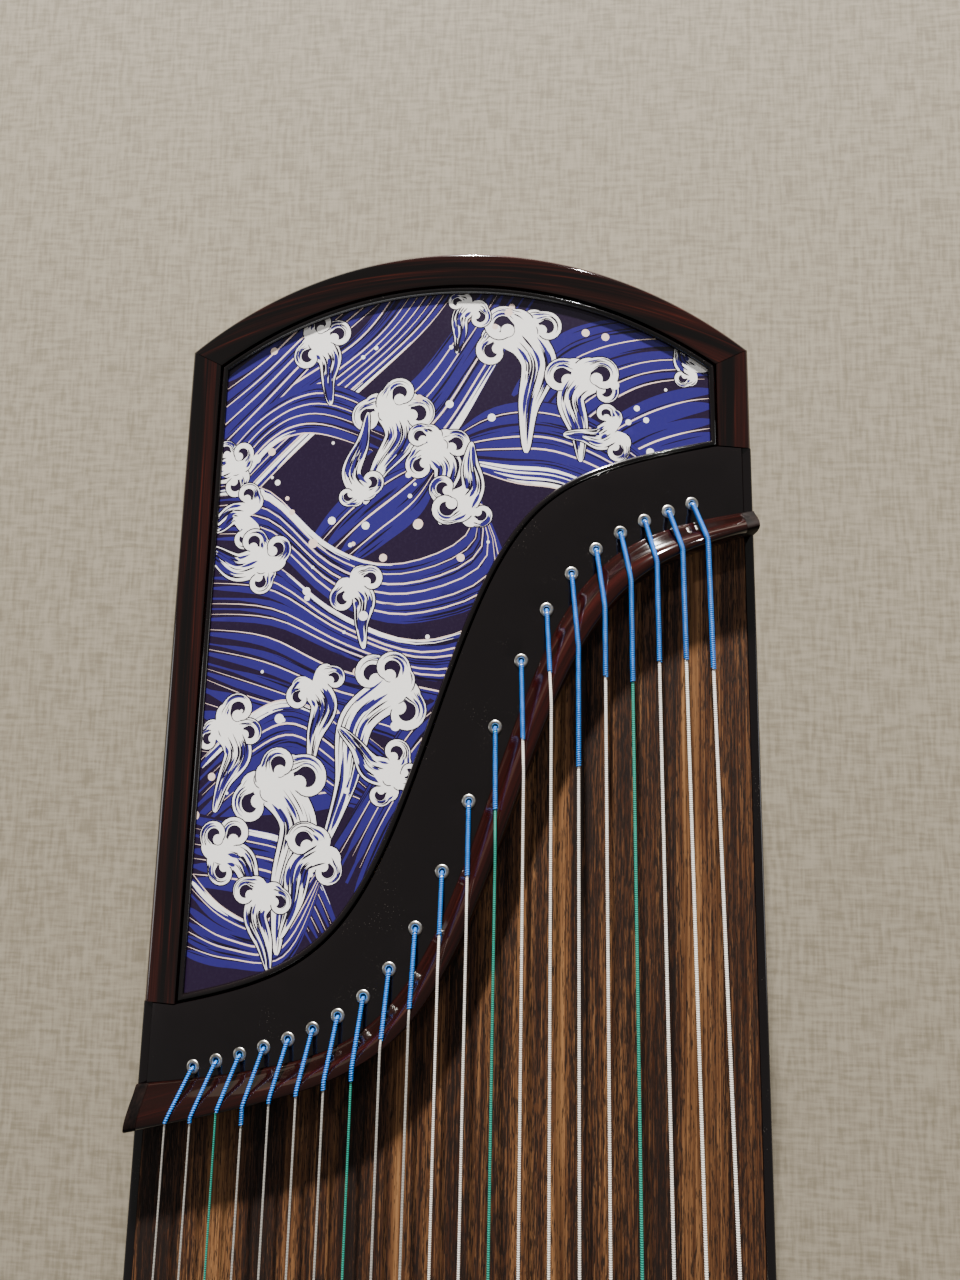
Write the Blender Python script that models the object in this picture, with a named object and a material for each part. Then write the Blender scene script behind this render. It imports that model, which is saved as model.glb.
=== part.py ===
"""A 21-string guzheng, lying on its two feet as it is played.

+X runs along the instrument towards the head, where the tuning box is, and -X towards the tail.
The player sits on the -Y side, by string 1. The origin is on the ground, under the middle of the body.
All sizes are in metres.
"""

from math import cos, pi, sin, sqrt, tanh

import bpy
from mathutils import Vector
from mathutils.geometry import delaunay_2d_cdt

# Body
LENGTH = 1.630  # tail tip to head end
TAIL_HALF_WIDTH = 0.145  # at the shoulders of the tail
HEAD_HALF_WIDTH = 0.176
SHOULDER_DEPTH = 0.044  # how far the arc of the tail end stands out past the shoulders
EDGE_Z = 0.080  # top of the side boards
CROWN = 0.018  # rise of the arched top over the side boards
FOOT_HEIGHT = 0.020
GAP = 0.0003  # between pieces that touch

# Boards
SIDE_WALL = 0.005
DECK = 0.008  # soundboard, tail board and rim
BOTTOM_WALL = 0.008
END_WALL = 0.018  # head end board
TAIL_WALL = 0.012  # the rim's curved end wall
TAIL_WALL_INSET = 0.0005  # the rim's top overhangs its wall by this
RIM_BAND = 0.0172  # side of the body to the bead
BOARD_SEAM = 0.008  # head-side edge of the tail bridge to the seam of the boards under it

# Wave panel and its bead
BEAD = 0.0038
BEAD_SINK = 0.0006
PANEL_SINK = 0.0026

# Each S-shaped line is (centre, reach, width, middle, slope), as s_line() reads it
HOLE_LINE = (0.2599, 0.1019, 0.038, 0.013, 0.315)
BRIDGE_TAIL_LINE = (0.2678, 0.1147, 0.041, 0.019, 0.194)
BRIDGE_HEAD_LINE = (0.2777, 0.1025, 0.040, 0.030, 0.300)
PANEL_LINE = (0.2347, 0.1082, 0.039, -0.012, 0.246)

# Tail bridge
CREST_HEIGHT = 0.0130
BRIDGE_TOE = 0.0015  # its thickness where it meets the tail board
CREST_PLACE = 0.86  # of the way from the tail-side edge to the head-side edge
CREST_SWELL = 1.4  # how late the slope rises towards the crest
CREST_DROP = 0.35  # share of the crest's height lost at the head-side edge
RIDGE_SHARES = (0.0, 0.2, 0.4, 0.6, 0.75, CREST_PLACE, 1.0)  # facets across both fixed bridges
RAMP_LIFT = 1.9  # a string's middle over the sloping side, in string radii

# Strings
STRINGS = 21
HOLE_PITCH = 0.01188
HOLE_OFFSET = -0.0038
HEAD_PITCH = 0.0137  # string spacing at the front bridge
PITCH_TAPER = 0.00095  # spacing lost for each metre towards the tail
LINE_OFFSET = 0.0030  # the string fan's shift towards the player for each metre towards the tail
STRING_HOLE = 0.0042
THIN_STRING = 0.0009
THICK_STRING = 0.0016
KNOT_RAIL_HALF = 0.003
KNOT_RAIL_DEPTH = 0.006

# Movable bridges
FIRST_BRIDGE = 0.133  # front bridge to bridge 1
BRIDGE_STEP = 0.027
BRIDGE_STEP_GROWTH = 0.0007
TREBLE_HEIGHT = 0.050
BASS_HEIGHT = 0.060
BRIDGE_HALF_SPAN = 0.0225
BRIDGE_FOOT = 0.0085
FOOT_THICK = 0.012
TOP_THICK = 0.006
TOP_HALF = 0.005
NECK_HALF = 0.0075
INNER_FOOT = 0.0098  # outer edge of a foot to the arch beside it
# Shares of its half span and of its height, down the outside of a leg and up the arch between the legs
LEG_OUTSIDE = ((0.62, 0.36), (0.90, 0.16), (1.00, 0.09), (1.00, 0.00))
ARCH = ((0.36, 0.33), (0.00, 0.40))
TOP_SIDE = 0.90  # lower end of the top's upright sides, as a share of the height
NECK = 0.62
INNER_FOOT_HEIGHT = 0.14

# Head
FRONT_BRIDGE_BACK = 0.150  # head end to the middle of the front bridge
FRONT_BRIDGE_HEIGHT = 0.016
FRONT_BRIDGE_THICK = 0.014
FRONT_BRIDGE_EDGE = 0.6  # height of its two edges, as a share of its middle's
BOARD_TAIL = 0.004  # soundboard past the front bridge
SLOT = 0.050  # front bridge's middle to the lid
LID_WALL = 0.006
LID_SIDE_GAP = 0.0008
LID_SKIRT = 0.010
LID_SINK = 0.004  # the lid's lower edge under the side boards' top
KNUCKLE_RADIUS = 0.004
HINGE_PIN_RADIUS = 0.0015
HINGE_CLEARANCE = 0.0004
KNUCKLE = 0.030
KNUCKLES = 5
PIN_ROW_START = 0.062  # front bridge's middle to the first row of pins
PIN_ROW_STEP = 0.012
PIN_ROWS = 3
PIN_RADIUS = 0.0032
COIL_RADIUS = 0.0042  # of the string wound on a pin
COIL_Z = 0.058
COIL_HEIGHT = 0.008
PIN_CLEARANCE = 0.0005
WRENCH_HALF = 0.0024  # half the side of the square that the wrench turns
PIN_TOP = 0.073
PIN_SINK = 0.012  # depth of a pin in its block
BLOCK_TOP = 0.046
BLOCK_WALL = 0.016
BLOCK_MARGIN = 0.012

# Feet, bars inside and sound holes
FOOT_LENGTH = 0.045
FOOT_HALF_WIDTH = 0.105
FOOT_INSET = 0.075  # end of the body to the foot
FOOT_CORNER = 0.010
BAR_HALF = 0.005
BAR_END_GAP = 0.002
BAR_SPACING = 0.360
RAIL_Y = 0.060  # the rail stands under the thick strings
RAIL_HALF = 0.008
RAIL_HEIGHT = 0.020
SOUND_HOLE_LENGTH = 0.120
SOUND_HOLE_WIDTH = 0.050
SOUND_HOLES = (-0.540, -0.180, 0.180)  # X of their middles

X_TAIL = -LENGTH / 2
X_HEAD = LENGTH / 2
X_SHOULDER = X_TAIL + SHOULDER_DEPTH
X_FRONT = X_HEAD - FRONT_BRIDGE_BACK
ARC_RADIUS = (TAIL_HALF_WIDTH**2 + SHOULDER_DEPTH**2) / (2 * SHOULDER_DEPTH)
INNER = SIDE_WALL + GAP  # side of the body to a board between the side boards
FLOOR_Z = FOOT_HEIGHT + BOTTOM_WALL  # top of the bottom board
LID_Z = EDGE_Z - LID_SINK
HINGE_X = X_HEAD - KNUCKLE_RADIUS

STRIPS = 24  # facets across the arched top
S_STEPS = 48  # points along an S-shaped line
ARC_STEPS = 28  # facets along the tail's arc
HOLE_SIDES = 10
KNUCKLE_SIDES = 16
PIN_SIDES = 12
STRING_SIDES = 5
SETTLE_ROUNDS = 8  # to place a point on a line whose end depends on the point itself
CREST_ROUNDS = 60
RAMP_ROUNDS = 40


# Shapes of the whole body


def half_width(x):
    share = max(0.0, (x - X_SHOULDER) / (X_HEAD - X_SHOULDER))
    return TAIL_HALF_WIDTH + (HEAD_HALF_WIDTH - TAIL_HALF_WIDTH) * share


def top_z(x, y):
    """The arched top of the body."""
    return EDGE_Z + CROWN * (1 - (y / half_width(x)) ** 2)


def raised(height):
    """A surface that follows the arched top at this height over it."""
    return lambda x, y: top_z(x, y) + height


def level(z):
    return lambda x, y: z


def s_line(line, y, offset=0.0):
    """X of an S-shaped line at y, or of the line that runs beside it at this offset."""
    centre, reach, width, middle, slope = line
    bend = tanh((y - middle) / width)
    tilt = -reach / width * (1 - bend**2) - slope
    return X_TAIL + centre - reach * bend - slope * (y - middle) + offset * sqrt(1 + tilt**2)


def s_points(line, inset, offset=0.0):
    """Points of an S-shaped line, from the player's side across, with its ends inset from the body's sides."""
    ends = []
    for side in (-1, 1):
        y = side * TAIL_HALF_WIDTH
        for _ in range(SETTLE_ROUNDS):
            y = side * (half_width(s_line(line, y, offset)) - inset)
        ends.append(y)
    ys = [ends[0] + (ends[1] - ends[0]) * i / S_STEPS for i in range(S_STEPS + 1)]
    return [(s_line(line, y, offset), y) for y in ys]


def arc_points(inset, half, steps=ARC_STEPS):
    """Points of the tail's arc, this far inside it, from +half to -half across."""
    radius = ARC_RADIUS - inset
    ys = [half * (1 - 2 * i / steps) for i in range(steps + 1)]
    return [(X_TAIL + ARC_RADIUS - sqrt(radius**2 - y**2), y) for y in ys]


def side_point(x, inset, side):
    return (x, side * (half_width(x) - inset))


def circle(x, y, radius, sides):
    turns = [2 * pi * i / sides for i in range(sides)]
    return [(x + radius * cos(a), y + radius * sin(a)) for a in turns]


def rounded_box(x, y, half_x, half_y, corner, steps=4):
    """Outline of a rectangle with round corners."""
    points = []
    for quarter, (sx, sy) in enumerate(((1, 1), (-1, 1), (-1, -1), (1, -1))):
        for i in range(steps + 1):
            a = (quarter + i / steps) * pi / 2
            middle = (x + sx * (half_x - corner), y + sy * (half_y - corner))
            points.append((middle[0] + corner * cos(a), middle[1] + corner * sin(a)))
    return points


# Meshes and objects


def finish(name, colour, roughness, metallic=0.0):
    material = bpy.data.materials.get(name)
    if material is None:
        material = bpy.data.materials.new(name)
        material.use_nodes = True
        shader = material.node_tree.nodes["Principled BSDF"]
        shader.inputs["Base Color"].default_value = (*colour, 1.0)
        shader.inputs["Roughness"].default_value = roughness
        shader.inputs["Metallic"].default_value = metallic
    return material


def rosewood():
    return finish("rosewood", (0.030, 0.010, 0.008), 0.15)


def black_gloss():
    return finish("black_gloss", (0.008, 0.006, 0.006), 0.12)


def pine():
    return finish("pine", (0.45, 0.30, 0.17), 0.60)


def brass():
    return finish("brass", (0.60, 0.42, 0.15), 0.30, 1.0)


def new_object(name, points, faces, material, origin=(0.0, 0.0, 0.0)):
    """An object whose origin is given and whose points are world coordinates."""
    mesh = bpy.data.meshes.new(name)
    mesh.from_pydata([Vector(p) - Vector(origin) for p in points], [], faces)
    mesh.materials.append(material)
    mesh.shade_smooth()
    mesh.set_sharp_from_angle(angle=pi / 6)
    obj = bpy.data.objects.new(name, mesh)
    obj.location = origin
    bpy.context.scene.collection.objects.link(obj)
    return obj


def combine(target, tools, operation):
    """Adds or cuts the tools, which stay in the scene as hidden guides."""
    for tool in tools:
        tool.hide_render = True
        tool.display_type = "WIRE"
        modifier = target.modifiers.new(tool.name, "BOOLEAN")
        modifier.operation = operation
        modifier.object = tool


def is_inside(x, y, loop):
    """Whether a point of the plan lies inside a closed loop."""
    odd = False
    for (x1, y1), (x2, y2) in zip(loop, loop[1:] + loop[:1]):
        if (y1 > y) != (y2 > y) and x < x1 + (y - y1) * (x2 - x1) / (y2 - y1):
            odd = not odd
    return odd


def plan_net(outline, holes, arched):
    """Triangles that fill an outline in plan, split along the body so that they can follow its arch."""
    points, edges = [], []
    for loop in (outline, *holes):
        first = len(points)
        points += loop
        edges += [(first + i, first + (i + 1) % len(loop)) for i in range(len(loop))]
    low, high = min(x for x, y in outline) - SIDE_WALL, max(x for x, y in outline) + SIDE_WALL
    for i in range(1 - STRIPS // 2, STRIPS // 2) if arched else ():
        share = 2 * i / STRIPS
        stops = [low, X_SHOULDER, high] if low < X_SHOULDER < high else [low, high]
        edges += [(len(points) + j, len(points) + j + 1) for j in range(len(stops) - 1)]
        points += [(x, share * half_width(x)) for x in stops]
    verts, _, faces, *_ = delaunay_2d_cdt([Vector(p) for p in points], edges, [], 0, 1e-7)
    kept = []
    for face in faces:
        x, y = sum((verts[v] for v in face), Vector((0.0, 0.0))) / len(face)
        if is_inside(x, y, outline) and not any(is_inside(x, y, hole) for hole in holes):
            kept.append(tuple(face))
    used = sorted({v for face in kept for v in face})
    place = {v: i for i, v in enumerate(used)}
    return [tuple(verts[v]) for v in used], [tuple(place[v] for v in face) for face in kept]


def plate(name, outline, top, bottom, material, holes=(), arched=True):
    """A board with this outline in plan, between two surfaces that are functions of x and y."""
    net, faces = plan_net(outline, holes, arched)
    count = len(net)
    points = [(x, y, top(x, y)) for x, y in net] + [(x, y, bottom(x, y)) for x, y in net]
    forward = {(a, b) for face in faces for a, b in zip(face, face[1:] + face[:1])}
    rims = [(b, a, a + count, b + count) for a, b in forward if (b, a) not in forward]
    unders = [tuple(v + count for v in reversed(face)) for face in faces]
    return new_object(name, points, faces + unders + sorted(rims), material)


def sweep(name, sections, material):
    """A bar through rings of points that all have the same count, closed at both ends."""
    size = len(sections[0])
    points = [p for ring in sections for p in ring]
    faces = [tuple(reversed(range(size))), tuple(len(points) - size + i for i in range(size))]
    for first in range(0, len(points) - size, size):
        for i in range(size):
            j = (i + 1) % size
            faces.append((first + i, first + j, first + size + j, first + size + i))
    return new_object(name, points, faces, material)


def rod(name, start, end, radius, sides, material):
    axis = Vector(end) - Vector(start)
    turn = Vector((0, 0, 1)).rotation_difference(axis)
    rings = [
        [Vector(p) + turn @ Vector((x, y, 0)) for x, y in circle(0, 0, radius, sides)] for p in (start, end)
    ]
    return sweep(name, rings, material)


# Soundboard, sides and bottom


def make_soundboard():
    tail_edge = s_points(BRIDGE_HEAD_LINE, INNER, -BOARD_SEAM)
    end = X_FRONT + FRONT_BRIDGE_THICK / 2 + BOARD_TAIL
    outline = [side_point(end, INNER, -1), side_point(end, INNER, 1), *reversed(tail_edge)]
    plate("soundboard", outline, top_z, raised(-DECK), finish("paulownia", (0.13, 0.07, 0.04), 0.55))


def make_side(name, side):
    outline = [
        side_point(X_SHOULDER + GAP, 0, side),
        side_point(X_SHOULDER + GAP, SIDE_WALL, side),
        side_point(X_HEAD, SIDE_WALL, side),
        side_point(X_HEAD, 0, side),
    ]
    plate(name, outline[::side], top_z, level(FOOT_HEIGHT), black_gloss(), arched=False)


def make_bottom():
    near_arc = arc_points(TAIL_WALL + GAP, TAIL_HALF_WIDTH - INNER)
    end = X_HEAD - END_WALL - GAP
    outline = [side_point(end, INNER, -1), side_point(end, INNER, 1), *near_arc]
    holes = [
        rounded_box(x, 0, SOUND_HOLE_LENGTH / 2, SOUND_HOLE_WIDTH / 2, SOUND_HOLE_WIDTH / 2 - GAP)
        for x in SOUND_HOLES
    ]
    plate("bottom_board", outline, level(FLOOR_Z), level(FOOT_HEIGHT), pine(), holes, arched=False)


def make_bars():
    """Three cross bars between the boards, carried by a rail along the body."""
    bars = []
    for i in (-1, 0, 1):
        ends = [side_point(i * BAR_SPACING + dx * BAR_HALF, INNER + BAR_END_GAP, side)
                for dx, side in ((-1, -1), (1, -1), (1, 1), (-1, 1))]
        bars.append(plate(f"bar_{i + 2}", ends, raised(-DECK - GAP), level(FLOOR_Z + GAP), pine()))
    reach = BAR_SPACING + BAR_HALF / 2
    outline = rounded_box(0, RAIL_Y, reach, RAIL_HALF, BAR_HALF / 2, 1)
    bottom = FLOOR_Z + GAP + BAR_HALF / 2
    rail = plate("brace_frame", outline, level(bottom + RAIL_HEIGHT), level(bottom), pine(), arched=False)
    combine(rail, bars, "UNION")


def make_feet():
    for name, side in (("tail_foot", -1), ("head_foot", 1)):
        x = side * (LENGTH / 2 - FOOT_INSET - FOOT_LENGTH / 2)
        outline = rounded_box(x, 0, FOOT_LENGTH / 2, FOOT_HALF_WIDTH, FOOT_CORNER)
        plate(name, outline, level(FOOT_HEIGHT - GAP), level(0), rosewood(), arched=False)


# Tail


def panel_outline(inset):
    """The wave panel's opening, shrunk by inset: tail arc, far side, S-shaped edge, player's side."""
    edge = s_points(PANEL_LINE, RIM_BAND + inset, BEAD - inset)
    half = TAIL_HALF_WIDTH - RIM_BAND - inset
    return [*arc_points(RIM_BAND + inset, half), *edge]


def make_rim():
    far = s_points(PANEL_LINE, RIM_BAND, BEAD)
    opening = panel_outline(0)
    arc = arc_points(0, TAIL_HALF_WIDTH)
    split = len(opening) - len(far)
    outline = [
        *arc,
        (X_SHOULDER, -(TAIL_HALF_WIDTH - INNER)),
        side_point(far[0][0], INNER, -1),
        far[0],
        *reversed(opening[:split]),
        far[-1],
        side_point(far[-1][0], INNER, 1),
        (X_SHOULDER, TAIL_HALF_WIDTH - INNER),
    ]
    rim = plate("tail_rim", outline, top_z, raised(-DECK), rosewood())
    half = TAIL_HALF_WIDTH - INNER
    wall_outline = [
        *arc_points(TAIL_WALL_INSET, TAIL_HALF_WIDTH - TAIL_WALL_INSET),
        (X_SHOULDER, -half),
        *reversed(arc_points(TAIL_WALL, half)),
        (X_SHOULDER, half),
    ]
    wall = plate("tail_wall", wall_outline, raised(-DECK / 2), level(FOOT_HEIGHT), rosewood())
    combine(rim, [wall], "UNION")


def make_bead_and_panel():
    black = finish("black_moulding", (0.004, 0.004, 0.005), 0.25)
    print_edge = panel_outline(BEAD)
    plate("panel_bead", panel_outline(GAP), raised(-BEAD_SINK), raised(GAP - PANEL_SINK), black, [print_edge])
    blue = finish("printed_panel", (0.05, 0.05, 0.28), 0.20)
    plate("wave_panel", panel_outline(GAP), raised(-PANEL_SINK), raised(-DECK), blue)


def hole_place(number):
    y = HOLE_OFFSET + HOLE_PITCH * (number - (STRINGS + 1) / 2)
    return s_line(HOLE_LINE, y), y


def make_tail_board():
    upper = s_points(PANEL_LINE, RIM_BAND, BEAD + GAP)
    lower = s_points(BRIDGE_HEAD_LINE, INNER, -BOARD_SEAM - GAP)
    outline = [
        side_point(upper[0][0] + GAP, INNER, -1),
        *lower,
        side_point(upper[-1][0] + GAP, INNER, 1),
        (upper[-1][0] + GAP, upper[-1][1] + GAP),
        *reversed(upper[1:-1]),
        (upper[0][0] + GAP, upper[0][1] - GAP),
    ]
    holes = [circle(*hole_place(n), STRING_HOLE / 2, HOLE_SIDES) for n in range(1, STRINGS + 1)]
    plate("tail_board", outline, top_z, raised(-DECK), black_gloss(), holes)


def tail_bridge_height(share):
    """Height of the tail bridge over the boards, at this share of the way across it."""
    if share <= CREST_PLACE:
        rise = sin(max(share, 0.0) / CREST_PLACE * pi / 2) ** CREST_SWELL
        return BRIDGE_TOE + (CREST_HEIGHT - BRIDGE_TOE) * rise
    drop = (share - CREST_PLACE) / (1 - CREST_PLACE)
    return CREST_HEIGHT * (1 - CREST_DROP * drop**2)


def ridge(name, tail_edge, head_edge, height, material, steps=S_STEPS):
    """A bar that follows the arched top from side to side, between two edges given as x of y."""
    sections = []
    for i in range(steps + 1):
        share_y = 2 * i / steps - 1
        ring = []
        for share in (*RIDGE_SHARES, 1.0, 0.0):
            y = share_y * TAIL_HALF_WIDTH
            for _ in range(SETTLE_ROUNDS):
                x = tail_edge(y) * (1 - share) + head_edge(y) * share
                y = share_y * half_width(x)
            rise = GAP if len(ring) >= len(RIDGE_SHARES) else GAP + height(share)
            ring.append((x, y, top_z(x, y) + rise))
        sections.append(ring)
    return sweep(name, sections, material)


def make_tail_bridge():
    ridge(
        "tail_bridge",
        lambda y: s_line(BRIDGE_TAIL_LINE, y),
        lambda y: s_line(BRIDGE_HEAD_LINE, y),
        tail_bridge_height,
        finish("red_rosewood", (0.075, 0.018, 0.013), 0.12),
    )


# Head


def front_bridge_height(share):
    return FRONT_BRIDGE_HEIGHT * (FRONT_BRIDGE_EDGE + (1 - FRONT_BRIDGE_EDGE) * sin(share * pi))


def make_front_bridge():
    half = FRONT_BRIDGE_THICK / 2
    edges = (lambda y: X_FRONT - half, lambda y: X_FRONT + half)
    ridge("front_bridge", *edges, front_bridge_height, rosewood(), STRIPS)


def knuckle_rods(first, spare):
    """Every second knuckle of the hinge. Spare room round it turns it into a cutter for its neighbour."""
    reach = HINGE_CLEARANCE / 2 if spare else -HINGE_CLEARANCE / 2
    rods = []
    for i in range(first, KNUCKLES, 2):
        start = (i - KNUCKLES / 2) * KNUCKLE
        ends = [(HINGE_X, y, LID_Z) for y in (start - reach, start + KNUCKLE + reach)]
        rods.append(rod(f"knuckle_{first}_{i}", *ends, KNUCKLE_RADIUS + spare, KNUCKLE_SIDES, rosewood()))
    return rods


def hinge_bore(name):
    reach = KNUCKLES * KNUCKLE
    ends = ((HINGE_X, -reach, LID_Z), (HINGE_X, reach, LID_Z))
    return rod(name, *ends, HINGE_PIN_RADIUS + GAP, PIN_SIDES, brass())


def make_head_end():
    inner = X_HEAD - END_WALL
    outline = [side_point(inner, INNER, -1), side_point(X_HEAD, INNER, -1),
               side_point(X_HEAD, INNER, 1), side_point(inner, INNER, 1)]
    board = plate("head_end_board", outline, level(LID_Z - GAP), level(FOOT_HEIGHT), rosewood(), arched=False)
    combine(board, knuckle_rods(0, 0), "UNION")
    combine(board, knuckle_rods(1, HINGE_CLEARANCE), "DIFFERENCE")
    combine(board, [hinge_bore("end_board_bore")], "DIFFERENCE")


def make_lid():
    front, inset = X_FRONT + SLOT, SIDE_WALL + LID_SIDE_GAP
    outline = [side_point(front, inset, -1), side_point(HINGE_X, inset, -1),
               side_point(HINGE_X, inset, 1), side_point(front, inset, 1)]
    lid = plate("box_lid", outline, top_z, level(LID_Z), rosewood())
    back, reach = HINGE_X - LID_SKIRT, inset + LID_SKIRT
    hollow = [side_point(front - LID_SKIRT, reach, -1), side_point(back, reach, -1),
              side_point(back, reach, 1), side_point(front - LID_SKIRT, reach, 1)]
    cutter = plate("lid_hollow", hollow, raised(-LID_WALL), level(LID_Z - LID_SINK), rosewood())
    combine(lid, [cutter], "DIFFERENCE")
    combine(lid, knuckle_rods(1, 0), "UNION")
    combine(lid, knuckle_rods(0, HINGE_CLEARANCE), "DIFFERENCE")
    combine(lid, [hinge_bore("lid_bore")], "DIFFERENCE")
    reach = KNUCKLES * KNUCKLE / 2
    ends = ((HINGE_X, -reach, LID_Z), (HINGE_X, reach, LID_Z))
    rod("lid_hinge_pin", *ends, HINGE_PIN_RADIUS, PIN_SIDES, brass())


def pin_place(number):
    x = X_FRONT + PIN_ROW_START + PIN_ROW_STEP * ((number - 1) % PIN_ROWS)
    return x, string_y(number, x) + COIL_RADIUS + string_radius(number) + GAP


def make_pin_block():
    start = X_FRONT + PIN_ROW_START - BLOCK_MARGIN
    end = X_FRONT + PIN_ROW_START + PIN_ROW_STEP * (PIN_ROWS - 1) + BLOCK_MARGIN
    outline = [side_point(start, INNER, -1), side_point(end, INNER, -1),
               side_point(end, INNER, 1), side_point(start, INNER, 1)]
    holes = [circle(*pin_place(n), PIN_RADIUS + PIN_CLEARANCE, PIN_SIDES) for n in range(1, STRINGS + 1)]
    maple = finish("maple", (0.50, 0.33, 0.18), 0.50)
    plate("pin_block", outline, level(BLOCK_TOP), level(BLOCK_TOP - BLOCK_WALL), maple, holes, arched=False)


def make_pin(number):
    """A tuning pin: shaft, wound string, collar and the square that the wrench turns."""
    x, y = pin_place(number)
    collar = COIL_Z + COIL_HEIGHT / 2 + PIN_RADIUS / 2
    profile = [
        (BLOCK_TOP - PIN_SINK, PIN_RADIUS),
        (COIL_Z - COIL_HEIGHT / 2, PIN_RADIUS),
        (COIL_Z - COIL_HEIGHT / 2 + GAP, COIL_RADIUS),
        (COIL_Z + COIL_HEIGHT / 2 - GAP, COIL_RADIUS),
        (COIL_Z + COIL_HEIGHT / 2, PIN_RADIUS),
        (collar, PIN_RADIUS),
    ]
    rings = [[(px, py, z) for px, py in circle(x, y, radius, 8)] for z, radius in profile]
    for z in (collar + PIN_RADIUS / 2, PIN_TOP):
        reach = [WRENCH_HALF * (sqrt(2) if i % 2 else 1) for i in range(8)]
        turns = [i * pi / 4 for i in range(8)]
        rings.append([(x + r * cos(a), y + r * sin(a), z) for r, a in zip(reach, turns)])
    pin = sweep(f"pin_{number:02d}", rings, finish("nickel", (0.55, 0.55, 0.56), 0.30, 1.0))
    centre = Vector((x, y, BLOCK_TOP))
    pin.data.transform(pin.matrix_world.inverted())
    for vertex in pin.data.vertices:
        vertex.co -= centre
    pin.location = centre


# Movable bridges


def bridge_x(number):
    """Bridge 1 stands nearest the front bridge, and each next one further from the one before."""
    n = number - 1
    return X_FRONT - FIRST_BRIDGE - BRIDGE_STEP * n - BRIDGE_STEP_GROWTH * n**2


def bridge_height(number):
    return TREBLE_HEIGHT + (BASS_HEIGHT - TREBLE_HEIGHT) * (number - 1) / (STRINGS - 1)


def make_movable_bridge(number):
    """An A-shaped bridge: two feet that follow the soundboard, an arch between them and a narrow top."""
    x = bridge_x(number)
    y = string_y(number, x)
    height, span = bridge_height(number), BRIDGE_HALF_SPAN
    base = top_z(x, y)
    half = [
        (0.0, height),
        (TOP_HALF, height),
        (TOP_HALF, height * TOP_SIDE),
        (NECK_HALF, height * NECK),
        *((span * dy, height * dz) for dy, dz in LEG_OUTSIDE),
        (span - BRIDGE_FOOT, 0.0),
        (span - INNER_FOOT, height * INNER_FOOT_HEIGHT),
        *((span * dy, height * dz) for dy, dz in ARCH),
    ]
    loop = half + [(-dy, dz) for dy, dz in reversed(half[1:-1])]
    points = []
    for side in (-1, 1):
        for dy, dz in loop:
            thick = FOOT_THICK + (TOP_THICK - FOOT_THICK) * dz / height
            ground = top_z(x, y + dy) if dz == 0 else base
            points.append((x + side * thick / 2, y + dy, ground + GAP + dz))
    count = len(loop)
    faces = [tuple(range(count)), tuple(reversed(range(count, 2 * count)))]
    faces += [(i, i + count, (i + 1) % count + count, (i + 1) % count) for i in range(count)]
    padauk = finish("padauk", (0.11, 0.030, 0.018), 0.30)
    new_object(f"bridge_{number:02d}", points, faces, padauk, (x, y, base))


# Strings


def string_radius(number):
    return (THIN_STRING + (THICK_STRING - THIN_STRING) * (number - 1) / (STRINGS - 1)) / 2


def string_y(number, x):
    """Y of a string at x, between the tail bridge and its pin."""
    run = X_FRONT - x
    return (number - (STRINGS + 1) / 2) * (HEAD_PITCH - PITCH_TAPER * run) - LINE_OFFSET * run


def crest_point(number):
    """Where a string leaves the crest of the tail bridge."""
    x = X_SHOULDER
    for _ in range(CREST_ROUNDS):
        y = string_y(number, x)
        tail_edge, head_edge = s_line(BRIDGE_TAIL_LINE, y), s_line(BRIDGE_HEAD_LINE, y)
        x += (tail_edge + (head_edge - tail_edge) * CREST_PLACE - x) / 2
    return x, string_y(number, x)


def ramp_point(start, end, share):
    """The point between two points of the plan that is this share of the way across the tail bridge."""
    low, high = 0.0, 1.0
    for _ in range(RAMP_ROUNDS):
        middle = (low + high) / 2
        x, y = (a + (b - a) * middle for a, b in zip(start, end))
        edge = s_line(BRIDGE_TAIL_LINE, y)
        if x - edge < share * (s_line(BRIDGE_HEAD_LINE, y) - edge):
            low = middle
        else:
            high = middle
    return x, y


def string_path(number):
    """From the knot under the tail board, over three bridges, to the pin."""
    lift = string_radius(number) + GAP
    hole_x, hole_y = hole_place(number)
    crest_x, crest_y = crest_point(number)
    path = [
        (hole_x, hole_y, top_z(hole_x, hole_y) - DECK - KNOT_RAIL_DEPTH / 2),
        (hole_x, hole_y, top_z(hole_x, hole_y) + lift),
    ]
    for share in RIDGE_SHARES[:-1]:
        x, y = ramp_point((hole_x, hole_y), (crest_x, crest_y), share)
        over = tail_bridge_height(share) + 2 * GAP + RAMP_LIFT * string_radius(number)
        path.append((x, y, top_z(x, y) + over))
    top_x = bridge_x(number)
    top = top_z(top_x, string_y(number, top_x)) + bridge_height(number) + GAP + lift
    for x in (top_x - TOP_THICK / 2, top_x + TOP_THICK / 2):
        path.append((x, string_y(number, x), top))
    for share in RIDGE_SHARES[2:5]:
        x = X_FRONT + (share - 0.5) * FRONT_BRIDGE_THICK
        y = string_y(number, x)
        path.append((x, y, top_z(x, y) + front_bridge_height(share) + GAP + lift))
    x, _ = pin_place(number)
    path.append((x, string_y(number, x), COIL_Z))
    return [Vector(p) for p in path]


def tube_rings(path, radius):
    turns = [2 * pi * k / STRING_SIDES for k in range(STRING_SIDES)]
    rings = []
    for i, point in enumerate(path):
        ahead = path[min(i + 1, len(path) - 1)] - point
        behind = point - path[max(i - 1, 0)]
        along = (ahead.normalized() + behind.normalized()).normalized()
        side = (Vector((0, 1, 0)) - along * along.y).normalized()
        up = along.cross(side)
        rings.append([point + radius * (cos(a) * side + sin(a) * up) for a in turns])
    return rings


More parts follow.
